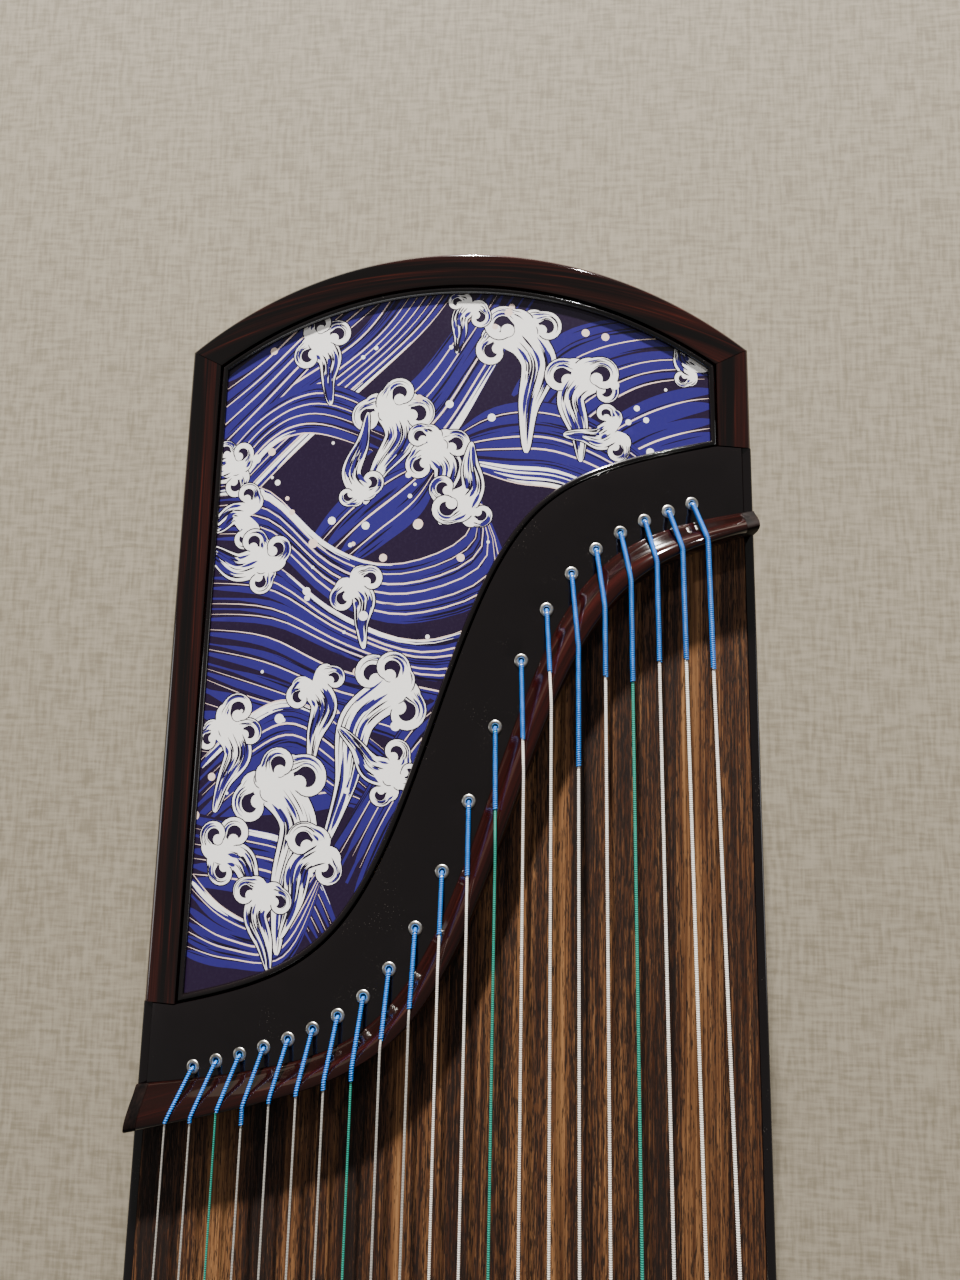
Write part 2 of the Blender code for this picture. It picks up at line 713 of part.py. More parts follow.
def make_strings():
    """The strings, held together by a rail under the tail board that stands for their knots."""
    silver = finish("wound_string", (0.55, 0.53, 0.50), 0.35, 0.4)
    rail_half = STRINGS / 2 * HOLE_PITCH
    sections = []
    for i in range(S_STEPS + 1):
        y = HOLE_OFFSET + rail_half * (2 * i / S_STEPS - 1)
        ring = []
        for side, drop in ((-1, 0), (1, 0), (1, 1), (-1, 1)):
            x = s_line(HOLE_LINE, y, side * KNOT_RAIL_HALF)
            ring.append((x, y, top_z(x, y) - DECK - GAP - drop * KNOT_RAIL_DEPTH))
        sections.append(ring)
    rail = sweep("strings", sections, silver)
    tubes = [
        sweep(f"string_{n:02d}", tube_rings(string_path(n), string_radius(n)), silver)
        for n in range(1, STRINGS + 1)
    ]
    combine(rail, tubes, "UNION")


def main():
    for obj in list(bpy.data.objects):
        bpy.data.objects.remove(obj, do_unlink=True)
    make_soundboard()
    make_side("side_board_near", -1)
    make_side("side_board_far", 1)
    make_bottom()
    make_bars()
    make_feet()
    make_rim()
    make_bead_and_panel()
    make_tail_board()
    make_tail_bridge()
    make_front_bridge()
    make_head_end()
    make_lid()
    make_pin_block()
    for number in range(1, STRINGS + 1):
        make_pin(number)
        make_movable_bridge(number)
    make_strings()


main()
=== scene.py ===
# %% [markdown]
# A guzheng: a long hollow zither of scorched paulownia, with 21 strings over movable bridges.
# This lesson dresses its exact CAD frame in finished pieces: smooth boards, a printed wave panel,
# wound strings and lacquer. The frame keeps every size, and each finished piece rides on one of its bodies.

# %% Load the frame
import random
from math import atan2, cos, floor, hypot, log, pi, sin, sqrt, tanh

import bmesh
import bpy
from mathutils import Matrix, Vector
from mathutils.geometry import delaunay_2d_cdt


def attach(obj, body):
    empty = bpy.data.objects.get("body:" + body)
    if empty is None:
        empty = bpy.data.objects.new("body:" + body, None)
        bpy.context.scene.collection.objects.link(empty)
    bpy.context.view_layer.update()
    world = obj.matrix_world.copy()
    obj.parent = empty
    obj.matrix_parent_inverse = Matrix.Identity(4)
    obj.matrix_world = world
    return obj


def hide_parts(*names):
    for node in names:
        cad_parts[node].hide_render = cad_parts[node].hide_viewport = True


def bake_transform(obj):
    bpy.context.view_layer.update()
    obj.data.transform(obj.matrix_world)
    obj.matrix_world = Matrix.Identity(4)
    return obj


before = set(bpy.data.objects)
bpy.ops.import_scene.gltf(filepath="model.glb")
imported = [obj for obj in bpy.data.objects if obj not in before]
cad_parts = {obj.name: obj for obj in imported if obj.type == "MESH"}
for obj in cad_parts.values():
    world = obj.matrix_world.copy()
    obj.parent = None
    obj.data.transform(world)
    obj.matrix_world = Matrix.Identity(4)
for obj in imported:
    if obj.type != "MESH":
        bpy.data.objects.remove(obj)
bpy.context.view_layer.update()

# %% [markdown]
# Every board follows one arched top, and the tail's pieces follow S-shaped lines drawn with a tanh curve.
# Writing those shapes once as functions lets each piece ask for its own height and edge, so that
# neighbours meet without any measuring between meshes.

# %% Sizes of the body
LENGTH, TAIL_HALF, HEAD_HALF, SHOULDER = 1.630, 0.145, 0.176, 0.044
EDGE_Z, CROWN, FOOT_HEIGHT, GAP = 0.080, 0.018, 0.020, 0.0003
SIDE_WALL, DECK, RIM_BAND, BOARD_SEAM = 0.005, 0.008, 0.0172, 0.008
BEAD, BEAD_SINK, PANEL_SINK = 0.0038, 0.0006, 0.0026
INNER = SIDE_WALL + GAP
SIDES = ((-1, "near"), (1, "far"))
X_TAIL, X_HEAD = -LENGTH / 2, LENGTH / 2
X_SHOULDER = X_TAIL + SHOULDER
X_FRONT = X_HEAD - 0.150
ARC_RADIUS = (TAIL_HALF**2 + SHOULDER**2) / (2 * SHOULDER)
X_ARC = X_TAIL + ARC_RADIUS

# Each S-shaped line is (centre, reach, width, middle, slope)
HOLE_LINE = (0.2599, 0.1019, 0.038, 0.013, 0.315)
BRIDGE_TAIL_LINE = (0.2678, 0.1147, 0.041, 0.019, 0.194)
BRIDGE_HEAD_LINE = (0.2777, 0.1025, 0.040, 0.030, 0.300)
PANEL_LINE = (0.2347, 0.1082, 0.039, -0.012, 0.246)


# %% Heights and edges
def half_width(x):
    share = max(0.0, (x - X_SHOULDER) / (X_HEAD - X_SHOULDER))
    return TAIL_HALF + (HEAD_HALF - TAIL_HALF) * share


def top_z(x, y):
    return EDGE_Z + CROWN * (1 - (y / half_width(x)) ** 2)


def raised(height):
    return lambda x, y: top_z(x, y) + height


def s_tilt(line, y):
    bend = tanh((y - line[3]) / line[2])
    return -line[1] / line[2] * (1 - bend**2) - line[4]


def s_line(line, y, offset=0.0):
    """X of an S-shaped line at y, moved sideways by the offset."""
    centre, reach, width, middle, slope = line
    plain = X_TAIL + centre - reach * tanh((y - middle) / width) - slope * (y - middle)
    return plain + offset * sqrt(1 + s_tilt(line, y) ** 2)


def s_points(line, inset, offset, steps=120):
    """Points of an S-shaped line across the body, its ends this far from the sides."""
    ends = []
    for side in (-1, 1):
        y = side * TAIL_HALF
        for _ in range(8):
            y = side * (half_width(s_line(line, y, offset)) - inset)
        ends.append(y)
    ys = [ends[0] + (ends[1] - ends[0]) * i / steps for i in range(steps + 1)]
    return [(s_line(line, y, offset), y) for y in ys]


def arc_points(inset, half, steps=90):
    """Points of the tail's arc, this far inside it, from +half to -half across."""
    ys = [half * (1 - 2 * i / steps) for i in range(steps + 1)]
    return [(X_ARC - sqrt((ARC_RADIUS - inset) ** 2 - y * y), y) for y in ys]


def side_point(x, inset, side):
    return (x, side * (half_width(x) - inset))


print("arc radius", round(ARC_RADIUS, 4), "m")

# %% [markdown]
# A finished piece is made of one or more closed shells. Boards are cut from an outline in plan with a
# constrained Delaunay net, which also takes holes and extra points inside, so the arch stays smooth.
# Bars and rims are lofts: rings of points joined one after the other. Each piece also gets a UV map
# named grain, with metres along the wood in U and metres across it in V.


# %% Pieces from points and faces
def placed(name, data):
    """A new object, linked to the scene."""
    obj = bpy.data.objects.new(name, data)
    bpy.context.scene.collection.objects.link(obj)
    return obj


def new_piece(name, shells, finish, grain=None, bevel=0.0, sharp=40):
    """A mesh object at the origin made of closed shells, each (points, faces)."""
    points, faces = [], []
    for shell_points, shell_faces in shells:
        first = len(points)
        points += [tuple(p) for p in shell_points]
        faces += [tuple(first + v for v in face) for face in shell_faces]
    mesh = bpy.data.meshes.new(name)
    mesh.from_pydata(points, [], faces)
    edit = bmesh.new()
    edit.from_mesh(mesh)
    bmesh.ops.remove_doubles(edit, verts=edit.verts, dist=1e-6)
    bmesh.ops.recalc_face_normals(edit, faces=edit.faces)
    edit.to_mesh(mesh)
    edit.free()
    mesh.materials.append(finish)
    obj = placed(name, mesh)
    if bevel:
        modifier = obj.modifiers.new("rounded edges", "BEVEL")
        modifier.width, modifier.segments, modifier.limit_method = bevel, 3, "ANGLE"
        modifier.angle_limit = pi / 4
        obj = frozen(obj)
    obj.data.shade_smooth()
    obj.data.set_sharp_from_angle(angle=sharp * pi / 180)
    lay_grain(obj, grain or (lambda p: (p.x, p.y + p.z)))
    return obj


def frozen(obj):
    """The object with its modifiers turned into a plain mesh."""
    bpy.context.view_layer.update()
    mesh = bpy.data.meshes.new_from_object(obj.evaluated_get(bpy.context.evaluated_depsgraph_get()))
    obj.modifiers.clear()
    obj.data = mesh
    return obj


def lay_grain(obj, grain):
    """Writes the UV map named grain from a function of a point."""
    layer = obj.data.uv_layers.new(name="grain")
    spots = [grain(v.co) for v in obj.data.vertices]
    flat = [value for loop in obj.data.loops for value in spots[loop.vertex_index]]
    layer.data.foreach_set("uv", flat)


def loft(rings, closed=False):
    """A shell through rings of points. Its ends are capped, or joined when it is closed."""
    size, count = len(rings[0]), len(rings)
    points = [p for ring in rings for p in ring]
    faces = []
    for i in range(count if closed else count - 1):
        a, b = i * size, (i + 1) % count * size
        faces += [(a + j, a + (j + 1) % size, b + (j + 1) % size, b + j) for j in range(size)]
    if not closed:
        faces += [tuple(reversed(range(size))), tuple((count - 1) * size + j for j in range(size))]
    return points, faces


# %% Boards cut from an outline
def is_inside(x, y, loop):
    odd = False
    for (x1, y1), (x2, y2) in zip(loop, loop[1:] + loop[:1]):
        if (y1 > y) != (y2 > y) and x < x1 + (y - y1) * (x2 - x1) / (y2 - y1):
            odd = not odd
    return odd


def ring_points(x, y, radius, sides):
    turns = [2 * pi * i / sides for i in range(sides)]
    return [(x + radius * cos(a), y + radius * sin(a)) for a in turns]


def board(outline, top, bottom, holes=(), spacing=0.012, stretch=1.0):
    """A closed shell between two surfaces, inside an outline and outside its holes."""
    points, edges = [], []
    for loop in (outline, *holes):
        first = len(points)
        points += loop
        edges += [(first + i, first + (i + 1) % len(loop)) for i in range(len(loop))]
    xs, ys = [p[0] for p in outline], [p[1] for p in outline]
    for i in range(1, int((max(xs) - min(xs)) / (spacing * stretch))):
        for j in range(1, int((max(ys) - min(ys)) / spacing)):
            x, y = min(xs) + i * spacing * stretch, min(ys) + j * spacing
            near = min((px - x) ** 2 + (py - y) ** 2 for px, py in points[: len(outline)])
            if near > (spacing / 3) ** 2 and is_inside(x, y, outline):
                if not any(is_inside(x, y, hole) for hole in holes):
                    points.append((x, y))
    verts, _, faces, *_ = delaunay_2d_cdt([Vector(p) for p in points], edges, [], 0, 1e-7)
    kept = []
    for face in faces:
        x, y = sum((verts[v] for v in face), Vector((0.0, 0.0))) / len(face)
        if is_inside(x, y, outline) and not any(is_inside(x, y, hole) for hole in holes):
            kept.append(tuple(face))
    count = len(verts)
    shell = [(x, y, top(x, y)) for x, y in verts] + [(x, y, bottom(x, y)) for x, y in verts]
    forward = {(a, b) for face in kept for a, b in zip(face, face[1:] + face[:1])}
    walls = [(b, a, a + count, b + count) for a, b in forward if (b, a) not in forward]
    unders = [tuple(v + count for v in reversed(face)) for face in kept]
    return shell, kept + unders + sorted(walls)


def settle(obj, body, slot, *nodes):
    """The closing lines of a piece: its body and the frame's nodes it stands for. The finish slot is not
    used.
    """
    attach(obj, body)
    if nodes:
        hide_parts(*nodes)
    print(obj.name, len(obj.data.polygons), "faces on", body)
    return obj


# %% [markdown]
# Finishes are worked out by nodes, so no picture is needed. Node trees are hard to read as a list of
# links, so one small class wraps a socket: arithmetic on it adds Math nodes, and its method add puts in
# any other node. Each finish below is then a few lines that read like a recipe.


# %% A socket that does arithmetic
class Wire:
    """A socket in a material's tree of nodes."""

    def __init__(self, tree, socket=None):
        self.tree, self.socket = tree, socket

    def add(self, kind, settings=None, inputs=None, output=0):
        """Any node: its settings first, then the values or links of its sockets."""
        node = self.tree.nodes.new(kind)
        for name, value in (settings or {}).items():
            if name == "stops":
                stops = node.color_ramp.elements
                while len(stops) < len(value):
                    stops.new(0.5)
                for stop, (place, colour) in zip(stops, value):
                    stop.position, stop.color = place, colour
            else:
                setattr(node, name, value)
        for key, value in (inputs or {}).items():
            if isinstance(value, Wire):
                self.tree.links.new(value.socket, node.inputs[key])
            else:
                node.inputs[key].default_value = value
        return Wire(self.tree, node.outputs[output])

    def maths(self, operation, a, b):
        return self.add("ShaderNodeMath", {"operation": operation}, {0: a, 1: b})

    def __add__(self, other):
        return self.maths("ADD", self, other)

    def __sub__(self, other):
        return self.maths("SUBTRACT", self, other)

    def __rsub__(self, other):
        return self.maths("SUBTRACT", other, self)

    def __mul__(self, other):
        return self.maths("MULTIPLY", self, other)


# %% Steps that every finish uses
def rgb(text):
    """A colour as the shader wants it, from six hexadecimal digits."""
    parts = [int(text[i : i + 2], 16) / 255 for i in (0, 2, 4)]
    return (*(c / 12.92 if c <= 0.04045 else ((c + 0.055) / 1.055) ** 2.4 for c in parts), 1.0)


def place_of(start):
    return start.add("ShaderNodeTexCoord", output="Object")


def grain_of(start):
    return start.add("ShaderNodeUVMap", {"uv_map": "grain"})


def stretched(place, x, y, z=1.0):
    return place.add("ShaderNodeVectorMath", {"operation": "MULTIPLY"}, {0: place, 1: (x, y, z)})


def noise(place, detail, roughness=0.5, distortion=0.0):
    sockets = {"Vector": place, "Scale": 1.0, "Detail": detail, "Roughness": roughness}
    return place.add("ShaderNodeTexNoise", None, {**sockets, "Distortion": distortion})


def ramp(value, *stops):
    return value.add("ShaderNodeValToRGB", {"stops": stops}, {0: value})


def fade(value, low, high):
    """The value's rise from low to high as a clamped rise from 0 to 1."""
    sockets = {0: value, 1: low, 2: high}
    return value.add("ShaderNodeMapRange", {"interpolation_type": "SMOOTHSTEP"}, sockets)


def mixed(factor, a, b):
    return factor.add("ShaderNodeMix", {"data_type": "RGBA"}, {0: factor, 6: a, 7: b}, 2)


def bump(height, distance, strength):
    sockets = {"Height": height, "Distance": distance, "Strength": strength}
    return height.add("ShaderNodeBump", None, sockets)


def finish(name, recipe, **fixed):
    """A material: recipe(start) gives the sockets that vary, and fixed values go on the shader."""
    material = bpy.data.materials.new(name)
    material.use_nodes = True
    tree = material.node_tree
    shader = tree.nodes["Principled BSDF"]
    for socket, value in fixed.items():
        shader.inputs[socket.replace("_", " ")].default_value = value
    for socket, wire in recipe(Wire(tree)).items():
        tree.links.new(wire.socket, shader.inputs[socket])
    return material


# %% [markdown]
# The soundboard is paulownia that was scorched and brushed: broad bands of dark and light run along it,
# with fine streaks and short dark pores in them. Noise stretched hard along X gives all three at
# three scales, and the pores also sink into the surface.


# %% Scorched paulownia
def paulownia_recipe(start):
    place = place_of(start)
    wander = noise(stretched(place, 2.2, 9.0, 0.0), 2.0)
    bands = noise(stretched(place, 0.55, 62.0, 20.0), 3.0, 0.55, 0.15)
    streaks = noise(stretched(place, 10.0, 800.0, 60.0), 3.0, 0.7, 0.2)
    flecks = noise(stretched(place, 120.0, 1900.0, 300.0), 2.0, 0.7)
    pores = fade(flecks + (0.5 - bands) * 0.55, 0.49, 0.56)
    tone = bands * 0.70 + streaks * 0.80 + wander * 0.25 - 0.37
    wood = ramp(
        tone,
        (0.30, rgb("150b07")),
        (0.45, rgb("371f13")),
        (0.56, rgb("573822")),
        (0.74, rgb("8a623e")),
    )
    return {
        "Base Color": mixed(pores * 0.88, wood, rgb("120a07")),
        "Roughness": streaks * 0.2 + pores * 0.25 + 0.42,
        "Normal": bump(streaks * 0.4 - pores, 0.00015, 0.5),
    }


paulownia = finish("scorched_paulownia", paulownia_recipe, Specular_IOR_Level=0.2)

# %% [markdown]
# Rosewood here is nearly black and under a deep clear coat. Its reddish streaks have to follow each
# strip of wood round the arc of the tail, so it reads the grain map instead of the place in space.


# %% Rosewoods
def rosewood_recipe(dark, warm, bright):
    def recipe(start):
        grain = grain_of(start)
        broad = noise(stretched(grain, 3.0, 130.0), 3.0, 0.55, 0.3)
        fine = noise(stretched(grain, 14.0, 900.0), 3.0, 0.6)
        streaks = fade(broad * 0.72 + fine * 0.28, 0.44, 0.66)
        lines = fade(fine, 0.56, 0.72)
        body = mixed(streaks, dark, warm)
        haze = noise(stretched(place_of(start), 30.0, 30.0, 30.0), 2.0)
        return {
            "Base Color": mixed(lines * streaks * 0.6, body, bright),
            "Roughness": haze * 0.06 + 0.05,
            "Normal": bump(fine, 0.00001, 0.3),
        }

    return recipe


COAT = {"Coat_Weight": 0.6, "Coat_Roughness": 0.04}
dark_look = rosewood_recipe(rgb("060303"), rgb("270b07"), rgb("4c1a11"))
red_look = rosewood_recipe(rgb("0f0403"), rgb("240907"), rgb("3a120c"))
rosewood = finish("dark_rosewood", dark_look, **COAT)
red_rosewood = finish("red_rosewood", red_look, Specular_IOR_Level=0.2, **COAT)


# %% Black lacquer, with a little dust
def lacquer_recipe(start):
    place = place_of(start)
    smears = noise(stretched(place, 14.0, 22.0, 14.0), 3.0, 0.6)
    specks = start.add("ShaderNodeTexVoronoi", None, {"Vector": place, "Scale": 900.0})
    dust = fade(specks, 0.16, 0.05) * fade(noise(stretched(place, 45.0, 45.0, 45.0), 2.0), 0.56, 0.72)
    return {
        "Base Color": mixed(dust * 0.5, rgb("0b0708"), rgb("8a8078")),
        "Roughness": smears * 0.16 + dust * 0.4 + 0.05,
        "Normal": bump(smears, 0.0002, 0.15),
    }


lacquer = finish("black_lacquer", lacquer_recipe, **COAT)


# %% Plain woods for the parts inside and under
def plain_wood_recipe(dark, light):
    def recipe(start):
        place = place_of(start)
        rings = noise(stretched(place, 2.5, 110.0, 110.0), 3.0, 0.5, 0.4)
        fine = noise(stretched(place, 20.0, 900.0, 900.0), 2.0)
        return {
            "Base Color": mixed(fade(rings * 0.7 + fine * 0.3, 0.38, 0.64), dark, light),
            "Roughness": fine * 0.25 + 0.42,
            "Normal": bump(fine, 0.0001, 0.3),
        }

    return recipe


pine = finish("pine", plain_wood_recipe(rgb("8a6238"), rgb("c9a06a")))
maple = finish("maple", plain_wood_recipe(rgb("a97c4c"), rgb("d9b483")))
padauk = finish("padauk", plain_wood_recipe(rgb("190604"), rgb("42130a")), Coat_Weight=0.3)
ebony = finish("ebony", plain_wood_recipe(rgb("050303"), rgb("150c0a")), Specular_IOR_Level=0.05)
bone = finish("bone", plain_wood_recipe(rgb("cdbd9c"), rgb("efe6d0")), Coat_Weight=0.2)


# %% Metals
def metal_recipe(colour, shade, turned):
    def recipe(start):
        place = place_of(start)
        scratches = noise(stretched(place, 900.0, 900.0, turned), 2.0)
        stains = noise(stretched(place, 160.0, 160.0, 160.0), 3.0)
        return {
            "Base Color": mixed(fade(stains, 0.45, 0.75), colour, shade),
            "Roughness": scratches * 0.25 + 0.20,
            "Normal": bump(scratches, 0.00002, 0.3),
        }

    return recipe


nickel = finish("nickel", metal_recipe(rgb("d8d6d0"), rgb("9a968e"), 90.0), Metallic=1.0)
brass = finish("brass", metal_recipe(rgb("d6ae5e"), rgb("8f6c2c"), 90.0), Metallic=1.0)
print(len(bpy.data.materials), "finishes so far")

# %% [markdown]
# The soundboard reaches from under the tail bridge to the front bridge, between two thin side boards.
# The side boards step down at the tail, where the rim's rosewood strips run right out to the side.

# %% Soundboard
BOARD_END = X_FRONT + 0.011


def board_side(start_x, side):
    """Points along one side of the soundboard, up to its head end."""
    run = BOARD_END - start_x
    return [side_point(start_x + run * i / 60, INNER, side) for i in range(1, 61)]


tail_edge = s_points(BRIDGE_HEAD_LINE, INNER, -BOARD_SEAM)
far_side, near_side = board_side(tail_edge[-1][0], 1), board_side(tail_edge[0][0], -1)
board_outline = [*tail_edge, *far_side, *reversed(near_side)]
board_shell = board(board_outline, top_z, raised(-DECK), stretch=3.0)
soundboard = new_piece("soundboard_face", [board_shell], paulownia, bevel=0.0004)
settle(soundboard, "root", "paulownia", "soundboard")

# %% Side boards
STRIP_END = s_points(PANEL_LINE, RIM_BAND, BEAD)  # its first and last points end the rim's two strips
EASE = 0.0006  # how far the top edge is eased over


def side_board(name, side, node):
    """A long thin board whose top edge is eased over."""
    strip_end = STRIP_END[0 if side < 0 else -1][0] + GAP
    rings = []
    stops = [X_SHOULDER + GAP + (strip_end - X_SHOULDER - GAP) * i / 20 for i in range(21)]
    stops += [strip_end + (X_HEAD - strip_end) * i / 80 for i in range(81)]
    for i, x in enumerate(stops):
        drop = DECK + GAP if i <= 20 else 0.0
        outer, inner = half_width(x), half_width(x) - SIDE_WALL
        height = top_z(x, outer) - drop
        across = [
            (outer, FOOT_HEIGHT),
            (outer, height - EASE * 2),
            (outer - EASE * 0.6, height - EASE * 0.6),
            (outer - EASE * 2, height + EASE * 0.2),
            (inner + EASE, height + EASE * 0.3),
            (inner, height - EASE * 0.4),
            (inner, FOOT_HEIGHT),
        ]
        rings.append([(x, side * y, z) for y, z in across])
    piece = new_piece(name, [loft(rings)], lacquer)
    return settle(piece, "root", "black_lacquer", node)


for side, label in SIDES:
    side_board(f"side_board_{label}_face", side, f"side_board_{label}")

# %% [markdown]
# The rim frames the tail: an arc of rosewood between two straight strips, mitred at the shoulders.
# Each is a loft between an outer line and an inner one, with the outer edge rolled over. A hair of
# space at each mitre leaves the fine joint line that shows on the real rim.

# %% Tail rim
ROLL = 0.0026  # radius of the rolled outer edge
MITRE = 0.00012


def band_ring(outer, inner, wall_bottom):
    """Points round a strip's section, from its outer wall over the top to its inner edge."""
    (ox, oy), (ix, iy) = outer, inner
    width = hypot(ix - ox, iy - oy)

    def across(distance):
        share = distance / width
        return ox + (ix - ox) * share, oy + (iy - oy) * share

    ring = [(*across(0), wall_bottom)]
    for k in range(6):
        a = k / 5 * pi / 2
        x, y = across(ROLL * (1 - cos(a)))
        ring.append((x, y, top_z(x, y) - ROLL * (1 - sin(a))))
    for distance in (0.35, 0.6, 0.85):
        x, y = across(ROLL + (width - ROLL) * distance)
        ring.append((x, y, top_z(x, y)))
    for distance, drop in ((0.0005, 0.0), (0.0001, 0.0002), (0.0, 0.0007)):
        x, y = across(width - distance)
        ring.append((x, y, top_z(x, y) - drop))
    ring.append((ix, iy, top_z(ix, iy) - DECK))
    x, y = across(0.012)
    ring.append((x, y, top_z(x, y) - DECK))
    ring.append((x, y, wall_bottom))
    return ring


def arc_grain(p):
    return (atan2(p.y, X_ARC - p.x) * ARC_RADIUS, hypot(p.y, X_ARC - p.x) + p.z)


outer_arc = arc_points(0, TAIL_HALF - MITRE)
inner_arc = arc_points(RIM_BAND, TAIL_HALF - RIM_BAND - MITRE)
arc_band = loft([band_ring(o, i, FOOT_HEIGHT) for o, i in zip(outer_arc, inner_arc)])
rim_arc = new_piece("tail_rim_arc", [arc_band], rosewood, arc_grain)
settle(rim_arc, "root", "rosewood", "tail_rim")


def rim_strip(name, side):
    corner_x = inner_arc[0][0] + MITRE
    end_x = STRIP_END[0 if side < 0 else -1][0]
    rings = []
    for i in range(31):
        share = i / 30
        outer_x = X_SHOULDER + MITRE + (end_x - X_SHOULDER) * share
        inner_x = corner_x + (end_x - corner_x) * share
        outer, inner = side_point(outer_x, 0, side), side_point(inner_x, RIM_BAND, side)
        rings.append(band_ring(outer, inner, top_z(*outer) - DECK))
    piece = new_piece(name, [loft(rings)], rosewood)
    return settle(piece, "root", "rosewood")


for side, label in SIDES:
    rim_strip(f"tail_rim_strip_{label}", side)


# %% Bead round the panel
def panel_outline(inset):
    """The panel's opening shrunk by the inset: the arc from far to near, then the S-shaped edge back."""
    half = TAIL_HALF - RIM_BAND - inset
    return arc_points(RIM_BAND + inset, half) + s_points(PANEL_LINE, RIM_BAND + inset, BEAD - inset)


def bead_shell():
    """A closed loop of moulding with a half-round top."""
    rounds = 9
    loops = [panel_outline(GAP + (BEAD - GAP) * k / (rounds - 1)) for k in range(rounds)]
    rings = []
    for spots in zip(*loops):
        ring = []
        for k, (x, y) in enumerate(spots):
            fall = 1 - sqrt(max(0.0, 1 - (2 * k / (rounds - 1) - 1) ** 2))
            ring.append((x, y, top_z(x, y) - BEAD_SINK - fall * (PANEL_SINK - BEAD_SINK)))
        for x, y in (spots[-1], spots[0]):
            ring.append((x, y, top_z(x, y) - PANEL_SINK - 0.0004))
        rings.append(ring)
    return loft(rings, closed=True)


bead = new_piece("panel_bead_face", [bead_shell()], lacquer)
settle(bead, "root", "black_moulding", "panel_bead")

# %% [markdown]
# The panel is a print of breaking waves in the old woodblock manner: sheets of indigo water with brush
# marks and thin cream lines, and white foam that winds into curls. A picture file would be easier, but
# drawing it in code keeps its edges sharp at any distance. Strokes are laid in order, as a printer
# lays inks, and each one is the strip of plan between its left side and its right side.

# %% Strokes of ink
MM = 0.001


def smooth_line(points, steps):
    """A Catmull-Rom line through points, with this many steps between each two."""
    line = []
    padded = [points[0], *points, points[-1]]
    for a, b, c, d in zip(padded, padded[1:], padded[2:], padded[3:]):
        for i in range(steps):
            t, spot = i / steps, []
            for p, q, r, s in zip(a, b, c, d):
                plain = 2 * q + (r - p) * t + (2 * p - 5 * q + 4 * r - s) * t**2
                spot.append(0.5 * (plain + (3 * q - p - 3 * r + s) * t**3))
            line.append(tuple(spot))
    return line + [points[-1]]


def beside(line, i, reach):
    """The place beside a line's point i, this far to its left."""
    (ax, ay), (bx, by) = line[max(i - 1, 0)], line[min(i + 1, len(line) - 1)]
    size = hypot(bx - ax, by - ay) or 1.0
    return line[i][0] - (by - ay) / size * reach, line[i][1] + (bx - ax) / size * reach


class Print:
    """Strokes of ink in the order in which they are laid."""

    def __init__(self, seed):
        self.strokes, self.dice = [], random.Random(seed)

    def ribbon(self, ink, line, widths):
        """A stroke along a line, with these half widths."""
        left = [beside(line, i, width) for i, width in enumerate(widths)]
        right = [beside(line, i, -width) for i, width in enumerate(widths)]
        self.strokes.append((ink, left, right))

    def disc(self, ink, x, y, radius, sides=18):
        ring = ring_points(x, y, radius, sides)
        half = sides // 2
        self.strokes.append((ink, ring[: half + 1], [ring[0], *ring[:half - 1:-1]]))

    def brush(self, ink, line, width, start, end, heavy=0.5):
        """A stroke that is pointed at both ends, along part of a line. Heavy is where it is widest."""
        count = max(4, int((len(line) - 1) * (end - start)))
        part = [at(line, start + (end - start) * i / count) for i in range(count + 1)]
        power = log(0.5) / log(min(max(heavy, 0.05), 0.95))
        widths = [width * max(0.06, sin(pi * (i / count) ** power)) ** 0.8 for i in range(count + 1)]
        self.ribbon(ink, part, widths)


def at(line, share):
    """The point at this share of a line."""
    place = min(max(share, 0.0), 1.0) * (len(line) - 1)
    i = min(int(place), len(line) - 2)
    (ax, ay), (bx, by) = line[i], line[i + 1]
    return ax + (bx - ax) * (place - i), ay + (by - ay) * (place - i)


def between(first, last, share, steps=26):
    """The line that lies at this share of the way from one line to another."""
    pairs = [(at(first, i / steps), at(last, i / steps)) for i in range(steps + 1)]
    return [(a[0] + (b[0] - a[0]) * share, a[1] + (b[1] - a[1]) * share) for a, b in pairs]


def guide(*points):
    """A smooth line through places given in millimetres from the tail's tip and from the middle."""
    return smooth_line([(X_TAIL + t * MM, v * MM) for t, v in points], 6)


# %% Water
def swell(art, first, last, count, spray):
    """A sheet of water between two lines: broad bands of indigo, dark brush marks and cream edges."""
    dice = art.dice
    near, far = between(first, last, 0.0), between(first, last, 1.0)
    gaps = [hypot(ax - bx, ay - by) / count for (ax, ay), (bx, by) in zip(near, far)]
    art.strokes.append(("ground", near, far))
    for i in range(count):
        share = (i + 0.5) / count
        line, end = between(first, last, share), dice.uniform(0.86, 1.0)
        start, power = dice.uniform(0.0, 0.12), dice.uniform(0.75, 1.05)
        body = [max(0.0, min(1.0, (k / (len(line) - 1) - start) / (end - start))) for k in range(len(line))]
        widths = [gap * power * 0.5 * max(0.02, sin(pi * s)) ** 0.4 for gap, s in zip(gaps, body)]
        art.ribbon("indigo", line, widths)
        for _ in range(dice.randint(2, 3)):
            offset, begin = dice.uniform(-0.38, 0.38) / count, dice.uniform(start, 0.65)
            mark = between(first, last, share + offset)
            art.brush("deep", mark, dice.uniform(0.25, 0.6) * MM, begin, begin + dice.uniform(0.15, 0.35))
        if dice.random() < 0.8:
            edge = between(first, last, share - dice.uniform(0.44, 0.52) / count)
            art.brush("cream", edge, dice.uniform(0.28, 0.50) * MM, start * dice.random(), end)
    for i in range(spray):
        begin = dice.uniform(0.0, 0.35)
        crest = between(first, last, 0.02 + 0.055 * i + dice.uniform(0.0, 0.02))
        width = dice.uniform(0.5, 1.2) * MM
        art.brush("white", crest, width, begin, begin + dice.uniform(0.3, 0.6), 0.35)


# %% Foam
SPAN = 1.46 * pi  # how far a curl winds


